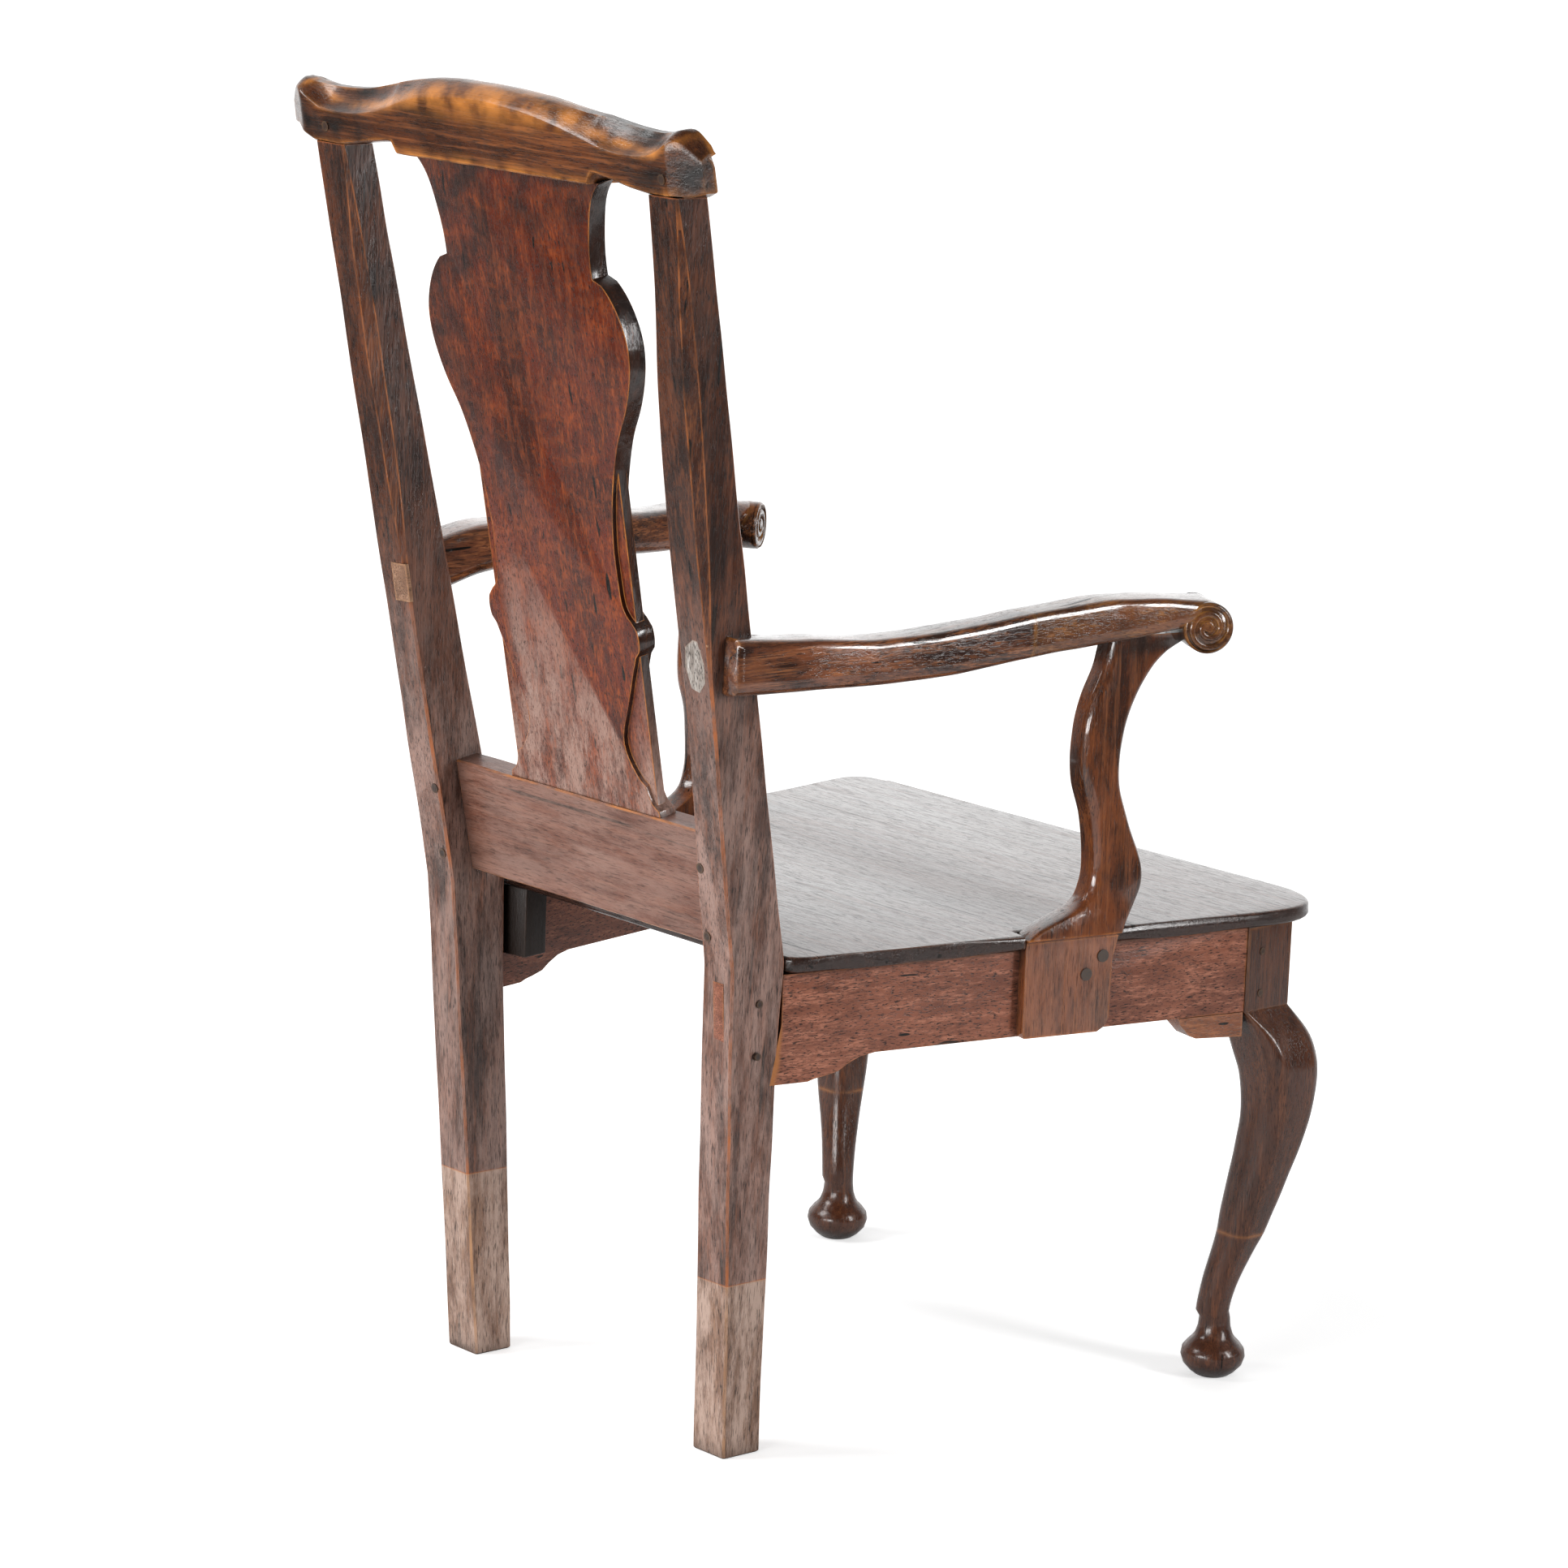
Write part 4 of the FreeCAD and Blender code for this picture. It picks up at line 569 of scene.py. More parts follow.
# The front legs: each cut from one square of oak, with the block for the rails, a bold rounded knee and a
# slim shin; the ankle and round pad foot are pieced on below a flat splice.
BLOCK_X = 0.251
BLOCK_Y = -0.281
BLOCK = 0.025
KNEE = 0.0198
RAIL_LOW = 0.321
SET_BACK = {1: (0.005, 0.008), -1: (0.002, 0.008)}
leg_oak = waxed_oak("leg_oak", (0.020, 0.008, 0.005), (0.070, 0.022, 0.010), (0.17, 0.055, 0.020),
                    (0.30, 0.11, 0.030), streaks=0.55, roughness=0.22, wax=0.5, edge_width=0.006)
leg_rows = [
    # height share, sweep out, half the side, corner
    (0.0, -0.62, 0.50, 0.90), (0.156, -0.68, 0.52, 0.88), (0.234, -0.54, 0.54, 0.82),
    (0.34, -0.14, 0.63, 0.72), (0.389, 0.06, 0.70, 0.70), (0.445, 0.22, 0.76, 0.65),
    (0.53, 0.48, 0.83, 0.58), (0.62, 0.75, 0.90, 0.55), (0.71, 0.96, 0.96, 0.52),
    (0.807, 1.0, 1.08, 0.55), (0.87, 0.88, 1.14, 0.50), (0.93, 0.62, 1.10, 0.40), (1.0, 0.0, 1.0, 0.10)]
pad_rows = [(0.0, 0.0125), (0.0008, 0.0145), (0.004, 0.0190), (0.010, 0.0245), (0.017, 0.0268),
            (0.023, 0.0258), (0.028, 0.0220), (0.032, 0.0180), (0.0345, 0.0162), (0.037, 0.0152),
            (0.042, 0.0136), (0.050, 0.0128)]


def squarish(side, height, sweep, half, corner, count=40):
    """A ring round the leg: a square with rounded corners, moved out along the diagonal."""
    down = max(0.0, 1 - height / RAIL_LOW) ** 0.65
    centre = Vector((side * (BLOCK_X + sweep * KNEE) - SET_BACK[side][0] * down,
                     BLOCK_Y - sweep * KNEE - SET_BACK[side][1] * down, height))
    reach = half * BLOCK
    bend = max(0.0005, corner * reach)
    flat = reach - bend
    points = []
    for number in range(count):
        angle = 2 * math.pi * (number + 0.5) / count
        way = Vector((math.cos(angle), math.sin(angle), 0))
        corner_middle = Vector((math.copysign(flat, way.x), math.copysign(flat, way.y), 0))
        points.append(centre + corner_middle + way * bend)
    return points


LEG_TIP = {1: 0.132, -1: 0.125}
for side in (1, -1):
    bm = bmesh.new()
    steps = 40
    rings = []
    for n in range(steps + 1):
        height = LEG_TIP[side] + (RAIL_LOW - LEG_TIP[side]) * n / steps
        sweep, half, corner = eased(leg_rows, height / RAIL_LOW)
        rings.append([hand_cut(p, 0.0004, 0.03) for p in squarish(side, height, sweep, half, corner)])
    rings.append(squarish(side, RAIL_LOW + 0.002, 0, 1.0, 0.06))
    rings.append(squarish(side, RAIL_LOW + 0.070, 0, 1.0, 0.05))
    joined(bm, rings)
    leg = finished("front_leg_" + SIDE_NAME[side] + "_dressed", bm, ["front_leg_" + SIDE_NAME[side]], 35)
    leg.data.materials.append(leg_oak)

    bm = bmesh.new()
    out = -0.62 * KNEE
    rings = []
    for height, radius in pad_rows:
        middle = Vector((side * (BLOCK_X + out) - SET_BACK[side][0],
                         BLOCK_Y - out - SET_BACK[side][1], height))
        rings.append([middle + Vector((math.cos(a), math.sin(a), 0)) * radius
                      for a in [2 * math.pi * (n + 0.5) / 40 for n in range(40)]])
    for n in range(1, 15):
        height = 0.050 + (LEG_TIP[side] - 0.050) * n / 14
        sweep, half, corner = eased(leg_rows, height / RAIL_LOW)
        rings.append([hand_cut(p, 0.0003, 0.03) for p in squarish(side, height, sweep, half, corner)])
    joined(bm, rings)
    node = "front_foot_" + SIDE_NAME[side]
    foot = finished(node + "_dressed", bm, [node], 35)
    foot.data.materials.append(leg_oak)

# The seat: one wide oak board laid across the rails and held down by the arm supports, its grain running
# from side to side and its edges worked to a round. Its corners are round, the right one more so.
seat_oak = waxed_oak("seat_oak", (0.030, 0.014, 0.010), (0.085, 0.038, 0.026), (0.19, 0.095, 0.065),
                     (0.16, 0.07, 0.03), grain="x", streaks=0.9, pores=0.9, roughness=0.24, wax=0.85,
                     shade_and_grime=0.3, bump=0.14)
seat_edge_oak = waxed_oak("seat_edge_oak", (0.010, 0.005, 0.004), (0.030, 0.012, 0.008),
                          (0.060, 0.026, 0.016), (0.14, 0.05, 0.02), grain="x", streaks=0.4, pores=0.9,
                          roughness=0.20, wax=0.6, shade_and_grime=0.5, bump=0.4)
SEAT_TOP = 0.4055
SEAT_LOW = 0.3930
OVER = 0.0095
SPLAY = math.radians(11.0)


def beside_rail(side, along, off, height):
    """A place beside a side rail: along it from the post, off from its outer face."""
    return Vector((side * (0.191 + along * math.sin(SPLAY) + off * math.cos(SPLAY)),
                   0.1706 - along * math.cos(SPLAY) + off * math.sin(SPLAY), height))


def seat_side(side, radius, front_y):
    """Half the seat's outline, from the post forward: a notch for the support, a rounded corner."""
    half = [Vector((side * 0.1930, 0.1700, 0)), Vector((side * 0.2000, 0.1640, 0))]
    half += [beside_rail(side, along, OVER, 0) for along in (0.02, 0.06, 0.10, 0.15, 0.2150)]
    half += [beside_rail(side, 0.2152, -0.0085, 0), beside_rail(side, 0.3000, -0.0085, 0)]
    half += [beside_rail(side, along, OVER, 0) for along in (0.3002, 0.34, 0.38)]
    corner = beside_rail(side, (0.1706 - front_y) / math.cos(SPLAY), OVER, 0)
    corner.y = front_y
    start = corner + (beside_rail(side, 0.1, 0, 0) - beside_rail(side, 0.2, 0, 0)).normalized() * radius
    end = corner - Vector((side * radius, 0, 0))
    for t in [n / 12 for n in range(13)]:
        half.append(start * (1 - t) ** 2 + corner * 2 * t * (1 - t) + end * t ** 2)
    return half


outline = seat_side(1, 0.040, -0.3390) + list(reversed(seat_side(-1, 0.085, -0.3450)))
bm = bmesh.new()
verts = [bm.verts.new((point.x, point.y, SEAT_LOW)) for point in outline]
under = bm.faces.new(verts)
raised = bmesh.ops.extrude_face_region(bm, geom=[under])
for vert in [thing for thing in raised["geom"] if isinstance(thing, bmesh.types.BMVert)]:
    vert.co.z = SEAT_TOP
rims = [edge for edge in bm.edges if abs(edge.verts[0].co.z - edge.verts[1].co.z) < 0.001]
bmesh.ops.bevel(bm, geom=rims, offset=0.0032, offset_type="OFFSET", segments=4, profile=0.5,
                affect="EDGES", clamp_overlap=True, material=-1)
seat = finished("seat_board_dressed", bm, ["seat_board"], 50)
seat.data.materials.append(seat_oak)
seat.data.materials.append(seat_edge_oak)
for face in seat.data.polygons:
    if face.normal.z < 0.75:
        face.material_index = 1

# The crest: a yoke sawn and rounded from one thick piece of oak, pegged down on the post tops. Its back is
# flat up to a worn ridge, golden with wear and a painted highlight, scooped above it beside the rounded
# ears and rolled over in the middle; painted shade blackens the scoops and the undersides of the ears.
crest_oak = waxed_oak("crest_oak", (0.016, 0.006, 0.003), (0.085, 0.024, 0.008), (0.26, 0.080, 0.020),
                      (0.60, 0.22, 0.042), grain="x", streaks=0.7, patches=0.95, pores=0.7,
                      edge_width=0.007, edge_gain=5.0, shade_and_grime=1.0, wax=0.3)
crest_rows = [
    # half length, underside, ridge, top, back set in, top's set in, bulge of the roll
    (0.000, 0.0, 0.0540, 0.0615, 0.0, 0.014, 0.14), (0.050, 0.0, 0.0515, 0.0612, 0.0, 0.014, 0.13),
    (0.090, 0.0, 0.0465, 0.0588, 0.0, 0.015, 0.08), (0.116, 0.0, 0.0410, 0.0565, 0.0, 0.016, 0.0),
    (0.1175, 0.0, 0.0405, 0.0563, 0.0, 0.016, 0.0), (0.1230, 0.0088, 0.0390, 0.0558, 0.0, 0.016, -0.04),
    (0.128, 0.0088, 0.0378, 0.0548, 0.0, 0.017, -0.08),
    (0.145, 0.0068, 0.0340, 0.0520, 0.0, 0.018, -0.15),
    (0.165, 0.0035, 0.0315, 0.0490, 0.0, 0.018, -0.20),
    (0.185, 0.0008, 0.0305, 0.0470, 0.0, 0.018, -0.22),
    (0.1925, 0.0, 0.0308, 0.0465, 0.0, 0.018, -0.21), (0.205, 0.0, 0.0325, 0.0465, 0.0, 0.017, -0.18),
    (0.215, 0.0, 0.0370, 0.0480, 0.0, 0.015, -0.08), (0.2235, 0.0, 0.0415, 0.0495, 0.0, 0.013, 0.04),
    (0.2265, 0.0008, 0.0430, 0.0505, 0.0004, 0.013, 0.08),
    (0.231, 0.0024, 0.0450, 0.0515, 0.0028, 0.014, 0.10),
    (0.236, 0.0042, 0.0450, 0.0512, 0.0057, 0.016, 0.10),
    (0.240, 0.0056, 0.0430, 0.0490, 0.0080, 0.018, 0.10),
    (0.245, 0.0074, 0.0385, 0.0435, 0.0108, 0.020, 0.08),
    (0.250, 0.0092, 0.0335, 0.0378, 0.0136, 0.022, 0.06),
    (0.2535, 0.0104, 0.0300, 0.0338, 0.0156, 0.023, 0.05)]
CREST_DEEP = 0.033
CREST_HALF = 0.2535
NEAR_FROM = 0.125
NEAR_SHORT = 0.872
FAR_LONG = 1.117
crest_drops = [
    # along, how much lower the top was left by the spokeshave
    (-0.26, 0.004), (-0.18, 0.004), (-0.14, 0.006), (-0.10, 0.007), (-0.05, 0.004), (0.0, 0.0015),
    (0.08, 0.0005), (0.13, 0.004), (0.17, 0.006), (0.23, 0.005), (0.27, 0.005)]


def crest_ring(along):
    """The section of the crest at one place along it, from the underside up the back to the front."""
    table = between if 0.112 < abs(along) < 0.127 else eased
    low, ridge, top, set_in, crown, bulge = table(crest_rows, abs(along))
    if along < -NEAR_FROM:
        along = -NEAR_FROM - (-along - NEAR_FROM) * NEAR_SHORT
        low = table(crest_rows, -along)[0]
    elif along > NEAR_FROM:
        along = NEAR_FROM + (along - NEAR_FROM) * FAR_LONG
        low = table(crest_rows, min(along, CREST_HALF))[0]
    drop = eased(crest_drops, along)[0]
    top, ridge = top - drop, ridge - drop * 0.8
    deep = CREST_DEEP - set_in * 0.35
    section = [(set_in + 0.0012, low), (set_in, low + 0.0012)]
    section += [(set_in, low + 0.0012 + (ridge - low - 0.0024) * n / 5) for n in range(1, 6)]
    start, end = Vector((set_in + 0.0006, ridge)), Vector((crown, top))
    chord = end - start
    bend = (start + end) / 2 + Vector((-chord.y, chord.x)) * bulge
    for n in range(0, 9):
        part = n / 8
        section.append(tuple(start * (1 - part) ** 2 + bend * 2 * part * (1 - part) + end * part ** 2))
    front = [(crown + 0.007, top - 0.0004), (deep - 0.005, top - 0.0022), (deep - 0.0012, top - 0.0060),
             (deep, top - 0.0105)]
    if top - low < 0.03:
        front = [(crown + (d - crown) * 0.9, low + (h - low) * 0.96) for d, h in front]
    section += [(d, max(h, low + 0.003)) for d, h in front]
    section += [(deep, low + 0.0012), (deep - 0.0012, low)]
    points = []
    for deep_in, high in section:
        if high <= low + 0.0013:
            high = (high - deep_in * math.sin(RAKE)) / math.cos(RAKE)
        y = BACK_Y + TOP_BACK + high * math.sin(RAKE) - deep_in * math.cos(RAKE)
        z = POST_TOP_Z + high * math.cos(RAKE) + deep_in * math.sin(RAKE)
        points.append(hand_cut(Vector((along, y, z)), 0.0006, 0.03))
    return points


half_places = [CREST_HALF, 0.252, 0.249, 0.246, 0.243, 0.240, 0.237, 0.234, 0.231, 0.2285, 0.2265, 0.2245]
half_places += [0.222 - 0.0035 * n for n in range(27)]
half_places += [0.1275, 0.1255, 0.1235, 0.1230, 0.1175, 0.1170, 0.114]
half_places += [0.108 - 0.009 * n for n in range(12)] + [0.0]
places = half_places + [-place for place in reversed(half_places[:-1])]
bm = bmesh.new()
joined(bm, [crest_ring(place) for place in places])
crest = finished("crest_rail_dressed", bm, ["crest_rail"], 32)
crest.data.materials.append(crest_oak)


def crest_height(co):
    """Height up the leaning rail, and its ridge at that place."""
    high = (co.z - POST_TOP_Z) * math.cos(RAKE) + (co.y - BACK_Y - TOP_BACK) * math.sin(RAKE)
    return high, eased(crest_rows, min(CREST_HALF, abs(co.x)))[1]


def crest_rub_and_highlight(co):
    """Worn along the ridge, with a painted highlight widest in the middle, and rubbed along the lower
    edge.
    """
    high, ridge = crest_height(co)
    wide = 0.0022 + 0.012 * hump(co.x, 0.0, 0.09)
    return 0.95 * hump(high, ridge, wide) + 0.6 * hump(high, 0.0, 0.0016)


def crest_soot_and_shade(co):
    """Painted shade, black in the scoops and under the ears; darker at the ears' ends too."""
    high, ridge = crest_height(co)
    beside = hump(abs(co.x), 0.165, 0.045)
    under = hump(abs(co.x), 0.195, 0.055) * hump(high, 0.014, 0.014)
    scoop = beside * hump(high, ridge + 0.010, 0.006)
    return 0.9 * scoop + 0.8 * under + 0.55 * hump(abs(co.x), 0.243, 0.018)


marked(crest, "rub_and_highlight", crest_rub_and_highlight)
marked(crest, "soot_and_shade", crest_soot_and_shade)

# The arms: sawn from thick oak and shaped with spokeshave and rasp, lapped on the outside of the posts,
# dipping in the middle and swept out to a carved scroll. The right one has a renewed front half.
arm_oak = waxed_oak("arm_oak", (0.028, 0.008, 0.004), (0.19, 0.055, 0.020), (0.42, 0.145, 0.048),
                    (0.50, 0.20, 0.045), grain="y", streaks=0.7, pores=0.7, patches=1.0, roughness=0.17,
                    wax=1.0, shine=0.09, edge_width=0.006)
renewed_arm_oak = waxed_oak("renewed_arm_oak", (0.060, 0.018, 0.006), (0.19, 0.058, 0.016),
                            (0.38, 0.15, 0.040), (0.50, 0.21, 0.05), grain="y", streaks=0.7, pores=0.6,
                            patches=0.9, roughness=0.17, wax=1.0, shine=0.09, edge_width=0.006)
ARM_Y = 0.26256
ARM_REACH = 0.450
arm_rows = [
    # along, outer face, underside, top, width
    (0.0, 0.2220, 0.6221, 0.6683, 0.0400), (0.084, 0.2220, 0.6199, 0.6639, 0.0400),
    (0.196, 0.2242, 0.6190, 0.6599, 0.0400), (0.32, 0.2321, 0.6190, 0.6560, 0.0388),
    (0.48, 0.2422, 0.6221, 0.6590, 0.0380), (0.644, 0.2537, 0.6309, 0.6670, 0.0380),
    (0.787, 0.2652, 0.6368, 0.6731, 0.0400), (0.86, 0.2735, 0.6405, 0.6733, 0.0412),
    (0.90, 0.2785, 0.6432, 0.6727, 0.0422), (0.944, 0.2838, 0.6458, 0.6714, 0.0432),
    (1.0, 0.2898, 0.6490, 0.6690, 0.0440)]
SCROLL_TURN = {1: math.radians(35), -1: math.radians(27)}
SWUNG_OUT = {1: 0.014, -1: 0.0}
SHORTER = {1: 0.022, -1: 0.0}
left_rise = [(0.0, 0.012), (0.084, 0.016), (0.196, 0.027), (0.32, 0.029), (0.48, 0.022), (0.644, 0.010),
             (0.787, 0.002), (1.0, 0.0)]
SCROLL_RADIUS = 0.0205
SCROLL_Z = 0.6478
SCROLL_X = 0.2898
SCROLL_INSET = 0.022
barrel_rows = [
    # how far out along the scroll's axis, radius
    (-0.0235, 0.0188), (-0.0225, 0.0200), (-0.0205, 0.0205), (0.0205, 0.0205), (0.0230, 0.0200),
    (0.0240, 0.0188)]


def arm_ring(side, along, shrink=1.0):
    """A rounded oblong across the arm; towards the scroll it turns with the scroll's axis."""
    outer, low, top, wide = eased(arm_rows, along)
    turn = SCROLL_TURN[side] * max(0.0, (along - 0.70) / 0.30) ** 1.3
    outer += SWUNG_OUT[side] * along ** 3
    if side > 0:
        rise = eased(left_rise, along)[0]
        low, top = low + rise, top + rise
    corners = ((0.0, top, -1, -1, 0.0065), (-wide, top, 1, -1, 0.010), (-wide, low, 1, 1, 0.012),
               (0.0, low, -1, 1, 0.012))
    middle = Vector((-wide / 2, (low + top) / 2))
    points = []
    for number, (across, high, toward, upward, bend) in enumerate(corners):
        for step in range(7):
            angle = math.radians(90 * step / 6)
            if number in (1, 3):
                angle = math.radians(90) - angle
            place = Vector((across + toward * bend * (1 - math.cos(angle)),
                            high + upward * bend * (1 - math.sin(angle))))
            place = middle + (place - middle) * shrink
            points.append(place)
    centre_y = ARM_Y - along * (ARM_REACH - SHORTER[side])
    ring = []
    for across, high in points:
        from_middle = across + wide / 2
        x = outer - wide / 2 + from_middle * math.cos(turn)
        y = centre_y + from_middle * math.sin(turn)
        ring.append(hand_cut(Vector((side * x, y, high)), 0.0007, 0.035))
    return ring


def scroll_end(bm, middle, across, out):
    """The carved face of the scroll: a groove that winds in two and a half turns towards an eye."""
    grid = bmesh.ops.create_grid(bm, x_segments=150, y_segments=26, size=0.5)
    up = Vector((0, 0, 1))
    for vert in grid["verts"]:
        angle = (vert.co.x + 0.5) * 2 * math.pi
        reach = vert.co.y + 0.5
        radius = SCROLL_RADIUS * reach
        winding = (2.6 * (reach - 0.08) - angle / (2 * math.pi)) % 1.0
        inside = 0.16 < reach < 0.90
        groove = math.exp(-((winding - 0.5) / 0.17) ** 2) if inside else 0.0
        rim = max(0.0, (reach - 0.90) / 0.10)
        rise = 0.0018 - 0.0042 * groove - 0.0024 * rim ** 2
        vert.co = middle + (across * math.cos(angle) + up * math.sin(angle)) * radius + out * rise


def arm_soot_and_shade(co):
    """Painted shade, black under the arm at the post; darker on the scroll, and a dark line in the scarf
    joint.
    """
    at_post = hump(co.y, ARM_Y - 0.012, 0.035) * max(0.0, 1 - (co.z - 0.615) / 0.045)
    at_scroll = hump(co.y, ARM_Y - ARM_REACH, 0.022) * 0.7
    at_scarf = 0.9 * hump(co.y, ARM_Y - 0.634 * ARM_REACH, 0.0018)
    return 0.8 * max(at_post, at_scroll, at_scarf)


for side, node, start, end in ((1, "arm_left", 0.045, 1.0), (-1, "arm_right_rear", 0.024, 0.6338),
                               (-1, "arm_right_front", 0.6342, 1.0)):
    bm = bmesh.new()
    count = int((end - start) * 80)
    rings = [arm_ring(side, start + (end - start) * n / count) for n in range(count + 1)]
    if start < 0.1:
        rings.insert(0, [point + Vector((0, 0.0015, 0)) for point in arm_ring(side, start, 0.92)])
    joined(bm, rings)
    if end == 1.0:
        out = Vector((side * math.cos(SCROLL_TURN[side]), math.sin(SCROLL_TURN[side]), 0))
        across = Vector((-out.y, out.x, 0))
        centre = Vector((side * (SCROLL_X + SWUNG_OUT[side] - SCROLL_INSET),
                         ARM_Y - ARM_REACH + SHORTER[side], SCROLL_Z))
        barrel = []
        for reach, radius in barrel_rows:
            ring = []
            for n in range(64):
                angle = 2 * math.pi * n / 64
                round_way = across * math.cos(angle) + Vector((0, 0, 1)) * math.sin(angle)
                ring.append(centre + out * reach + round_way * radius)
            barrel.append(ring)
        joined(bm, barrel)
        scroll_end(bm, centre + out * barrel_rows[-1][0], across, out)
        scroll_end(bm, centre + out * barrel_rows[0][0], across, -out)
    renewed = node == "arm_right_front"
    arm = finished(node + "_dressed", bm, [node], 50)
    arm.data.materials.append(renewed_arm_oak if renewed else arm_oak)
    marked(arm, "soot_and_shade", arm_soot_and_shade)

# The arm supports: S-shaped, sawn from thick oak with the grain upright, their outer arrises rounded
# over, the square foot lapped on the side rail and held by two screws.
support_oak = waxed_oak("support_oak", (0.030, 0.009, 0.004), (0.17, 0.046, 0.014),
                        (0.33, 0.105, 0.030), (0.50, 0.17, 0.040), streaks=0.45, pores=0.6,
                        patches=0.95, roughness=0.18, wax=1.0, shine=0.08, pale=(0.44, 0.17, 0.085),
                        edge_width=0.004, edge_gain=5.0)
SUPPORT_WIDE = 0.084
SUPPORT_HIGH = 0.311
support_rows = [
    # height share, rear edge, front edge
    (0.0, 0.02, 0.84), (0.012, 0.006, 0.92), (0.035, 0.0, 0.97), (0.19, 0.0, 0.976), (0.262, 0.0, 1.04),
    (0.285, 0.13, 1.08), (0.312, 0.38, 1.14), (0.342, 0.58, 1.20), (0.385, 0.665, 1.25),
    (0.44, 0.69, 1.235), (0.56, 0.64, 1.05), (0.66, 0.525, 0.945), (0.79, 0.52, 0.985),
    (0.88, 0.60, 1.09), (0.95, 0.71, 1.25), (0.99, 0.75, 1.42), (1.015, 0.77, 1.60),
    (1.035, 0.78, 1.75)]


def support_ring(side, share):
    """The section of a support: square at the lapped foot, well rounded on its outer corners above."""
    table = between if share < 0.30 else eased
    rear, front = table(support_rows, share)
    if side > 0:
        front = min(front, 1.25)
    bend = 0.0012 + 0.0075 * max(0.0, min(1.0, (share - 0.25) / 0.09))
    thin = 0.0 if share > 0.251 else 0.005
    start, end = 0.216 + rear * SUPPORT_WIDE, 0.216 + front * SUPPORT_WIDE
    section = [(start + 0.0012, -0.008), (start, -0.0068)]
    for n in range(6):
        angle = math.radians(90 * n / 5)
        section.append((start + bend * (1 - math.cos(angle)), 0.015 - thin - bend * (1 - math.sin(angle))))
    for n in range(6):
        angle = math.radians(90 - 90 * n / 5)
        section.append((end - bend * 0.8 * (1 - math.cos(angle)),
                        0.015 - thin - bend * 0.8 * (1 - math.sin(angle))))
    section += [(end, -0.0068), (end - 0.0012, -0.008)]
    points = []
    for along, off in section:
        height = RAIL_LOW + share * SUPPORT_HIGH
        points.append(hand_cut(beside_rail(side, along, off, height), 0.0008, 0.04))
    return points


for side in (1, -1):
    bm = bmesh.new()
    shares = [0.0, 0.004, 0.012, 0.022] + [0.035 + 0.015 * n for n in range(14)] + [0.250]
    shares += [0.260 + 0.775 * n / 70 for n in range(71)]
    joined(bm, [support_ring(side, share) for share in shares])
    node = "arm_support_" + SIDE_NAME[side]
    support = finished(node + "_dressed", bm, [node], 40)
    support.data.materials.append(support_oak)
    # Painted shade: a dark band at the top of each support, under the arm.
    marked(support, "soot_and_shade", lambda co: 0.9 * hump(co.z, 0.636, 0.014))
    marked(support, "pale", lambda co: 0.22 * max(0.0, min(1.0, (0.398 - co.z) / 0.004)))

# The small pieces: sawn knee brackets beside the front legs, those at the sides in later oak, sooty blocks
# glued in the rear corners, oak pegs driven through the tenons, and old iron screws in the supports.
bracket_oak = waxed_oak("bracket_oak", (0.07, 0.022, 0.010), (0.22, 0.070, 0.028), (0.40, 0.150, 0.060),
                        (0.34, 0.13, 0.05), grain="y", streaks=0.7)
block_oak = waxed_oak("corner_block_oak", (0.010, 0.006, 0.005), (0.018, 0.010, 0.007),
                      (0.03, 0.016, 0.010), (0.05, 0.025, 0.015), roughness=0.5, wax=0.05)
peg_oak = waxed_oak("peg_oak", (0.010, 0.005, 0.004), (0.030, 0.013, 0.008), (0.06, 0.028, 0.014),
                    (0.10, 0.05, 0.02), roughness=0.4)
for node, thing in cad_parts.items():
    if "peg" in node:
        thing.data.materials.clear()
        thing.data.materials.append(peg_oak)
    elif "bracket" in node and "side" not in node:
        softened(node + "_dressed", node, 0.0010, leg_oak)
    elif "corner_block" in node:
        softened(node + "_dressed", node, 0.0010, block_oak)
for side in (1, -1):
    bm = bmesh.new()
    profile = ((0.372, 0.3205), (0.3735, 0.3150), (0.383, 0.3050), (0.389, 0.3026), (0.434, 0.3002),
               (0.434, 0.3205))
    joined(bm, [[beside_rail(side, along, off, height) for along, height in profile]
                for off in (-0.020, -0.001, 0.0)])
    node = "knee_bracket_side_" + SIDE_NAME[side]
    bracket = finished(node + "_dressed", bm, [node], 30)
    bracket.data.materials.append(bracket_oak)
old_iron = bpy.data.materials.new("old_iron")
old_iron.use_nodes = True
iron = old_iron.node_tree
iron_place = iron.nodes.new("ShaderNodeTexCoord").outputs["Object"]
rust = clouds(iron, iron_place, 650, 5)
bare_iron = iron.nodes["Principled BSDF"]
iron.links.new(tinted(iron, rust, (0.020, 0.018, 0.018, 1), (0.105, 0.070, 0.050, 1)),
               bare_iron.inputs["Base Color"])
iron.links.new(graded(iron, rust, 0.35, 0.65, 0.38, 0.75), bare_iron.inputs["Roughness"])
for node in ("support_screws_left", "support_screws_right"):
    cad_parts[node].data.materials.clear()
    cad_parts[node].data.materials.append(old_iron)

# The studio: a round pale floor that fades to white for the camera alone, a white surround that lights the
# chair from one side, and three soft lamps: a large one high behind, a tall one beside, a wide one low.
PHOTO_SIDE = 1932
FOCAL = 6786.8
PHOTO_CENTRE = (977.4, 963.1)
CAMERA_AT = (-3.3001, 2.6649 + BACK_Y, 1.4190)
camera_data = bpy.data.cameras.new("camera")
camera = bpy.data.objects.new("camera", camera_data)
bpy.context.scene.collection.objects.link(camera)
bpy.context.scene.camera = camera
YAW, PITCH, ROLL = 2.28990, -0.20880, 0.03880
forward = Vector((math.cos(PITCH) * math.sin(YAW), math.cos(PITCH) * math.cos(YAW), math.sin(PITCH)))
level = forward.cross(Vector((0, 0, 1))).normalized()
upward = level.cross(forward)
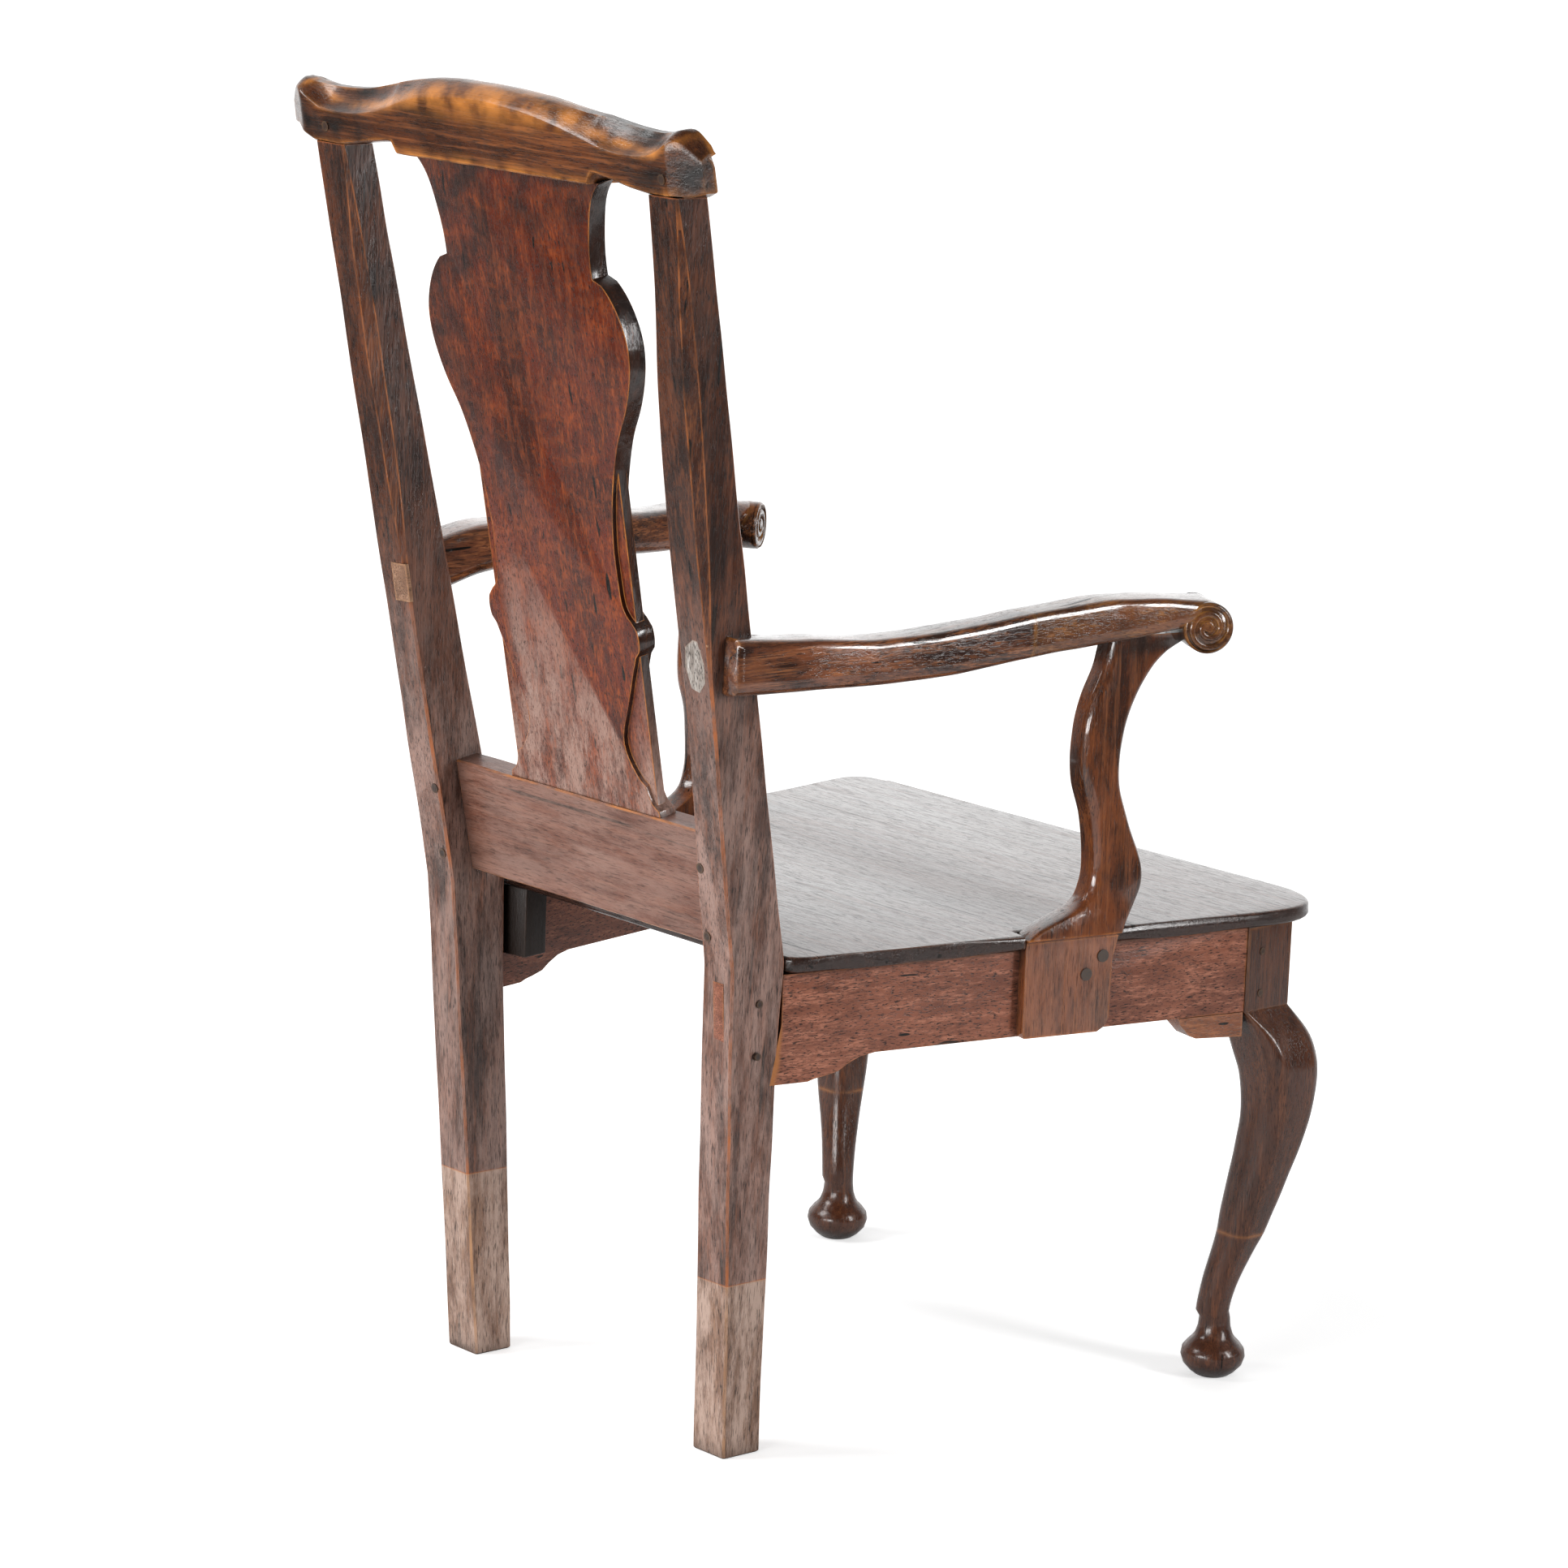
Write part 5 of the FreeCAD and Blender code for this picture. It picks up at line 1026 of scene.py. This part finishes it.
right = level * math.cos(ROLL) + upward * math.sin(ROLL)
top = -level * math.sin(ROLL) + upward * math.cos(ROLL)
camera.matrix_world = Matrix.Translation(CAMERA_AT) @ Matrix(
    (right, top, -forward)).transposed().to_4x4()
camera_data.sensor_width = 36
camera_data.lens = camera_data.sensor_width * FOCAL / PHOTO_SIDE
camera_data.shift_x = (PHOTO_SIDE / 2 - PHOTO_CENTRE[0]) / PHOTO_SIDE
camera_data.shift_y = (PHOTO_CENTRE[1] - PHOTO_SIDE / 2) / PHOTO_SIDE
camera_data.clip_end = 50

floor_bm = bmesh.new()
bmesh.ops.create_circle(floor_bm, cap_ends=True, segments=96, radius=1.9)
floor_mesh = bpy.data.meshes.new("floor")
floor_bm.to_mesh(floor_mesh)
floor_bm.free()
floor = bpy.data.objects.new("floor", floor_mesh)
bpy.context.scene.collection.objects.link(floor)
floor_paint = bpy.data.materials.new("pale_floor")
floor_paint.use_nodes = True
floor_tree = floor_paint.node_tree
floor_shader = floor_tree.nodes["Principled BSDF"]
floor_shader.inputs["Base Color"].default_value = (0.85, 0.85, 0.85, 1)
floor_shader.inputs["Roughness"].default_value = 0.9
floor_shader.inputs["Emission Color"].default_value = (1, 1, 1, 1)
distance = floor_tree.nodes.new("ShaderNodeVectorMath")
distance.operation = "LENGTH"
floor_tree.links.new(floor_tree.nodes.new("ShaderNodeTexCoord").outputs["Object"], distance.inputs[0])
seen = floor_tree.nodes.new("ShaderNodeLightPath").outputs["Is Camera Ray"]
glow = sum_of(floor_tree, "MULTIPLY", seen, graded(floor_tree, distance.outputs["Value"], 0.55, 1.6, 0.50))
floor_tree.links.new(glow, floor_shader.inputs["Emission Strength"])
floor_mesh.materials.append(floor_paint)

world = bpy.data.worlds.new("pale_surround")
bpy.context.scene.world = world
world.use_nodes = True
sky = world.node_tree
surround = sky.nodes["Background"]
surround.inputs["Color"].default_value = (1, 1, 1, 1)
away = sky.nodes.new("ShaderNodeVectorMath")
away.operation = "DOT_PRODUCT"
away.inputs[1].default_value = (0.75, -0.66, 0.0)
sky.links.new(sky.nodes.new("ShaderNodeTexCoord").outputs["Generated"], away.inputs[0])
camera_ray = sky.nodes.new("ShaderNodeLightPath").outputs["Is Camera Ray"]
strength = sum_of(sky, "MAXIMUM", camera_ray, graded(sky, away.outputs["Value"], 0.30, 0.85, 0.12, 1.30))
sky.links.new(strength, surround.inputs["Strength"])


def soft_lamp(name, place, aim, size, power):
    """A wide studio lamp turned to face a point."""
    lamp_data = bpy.data.lights.new(name, "AREA")
    lamp_data.shape = "RECTANGLE"
    lamp_data.size, lamp_data.size_y = size
    lamp_data.energy = power
    lamp = bpy.data.objects.new(name, lamp_data)
    bpy.context.scene.collection.objects.link(lamp)
    lamp.location = place
    lamp.rotation_mode = "QUATERNION"
    lamp.rotation_quaternion = (Vector(aim) - Vector(place)).to_track_quat("-Z", "Y")


soft_lamp("key", (1.6, 2.6, 2.6), (0, 0, 0.5), (1.6, 1.6), 85)
soft_lamp("side", (-3.2, -1.2, 1.5), (0, 0, 0.55), (0.5, 1.8), 62)
soft_lamp("low", (-0.6, 3.4, 0.7), (0, 0, 0.25), (2.2, 0.8), 75)

bpy.context.scene.view_settings.view_transform = "Standard"
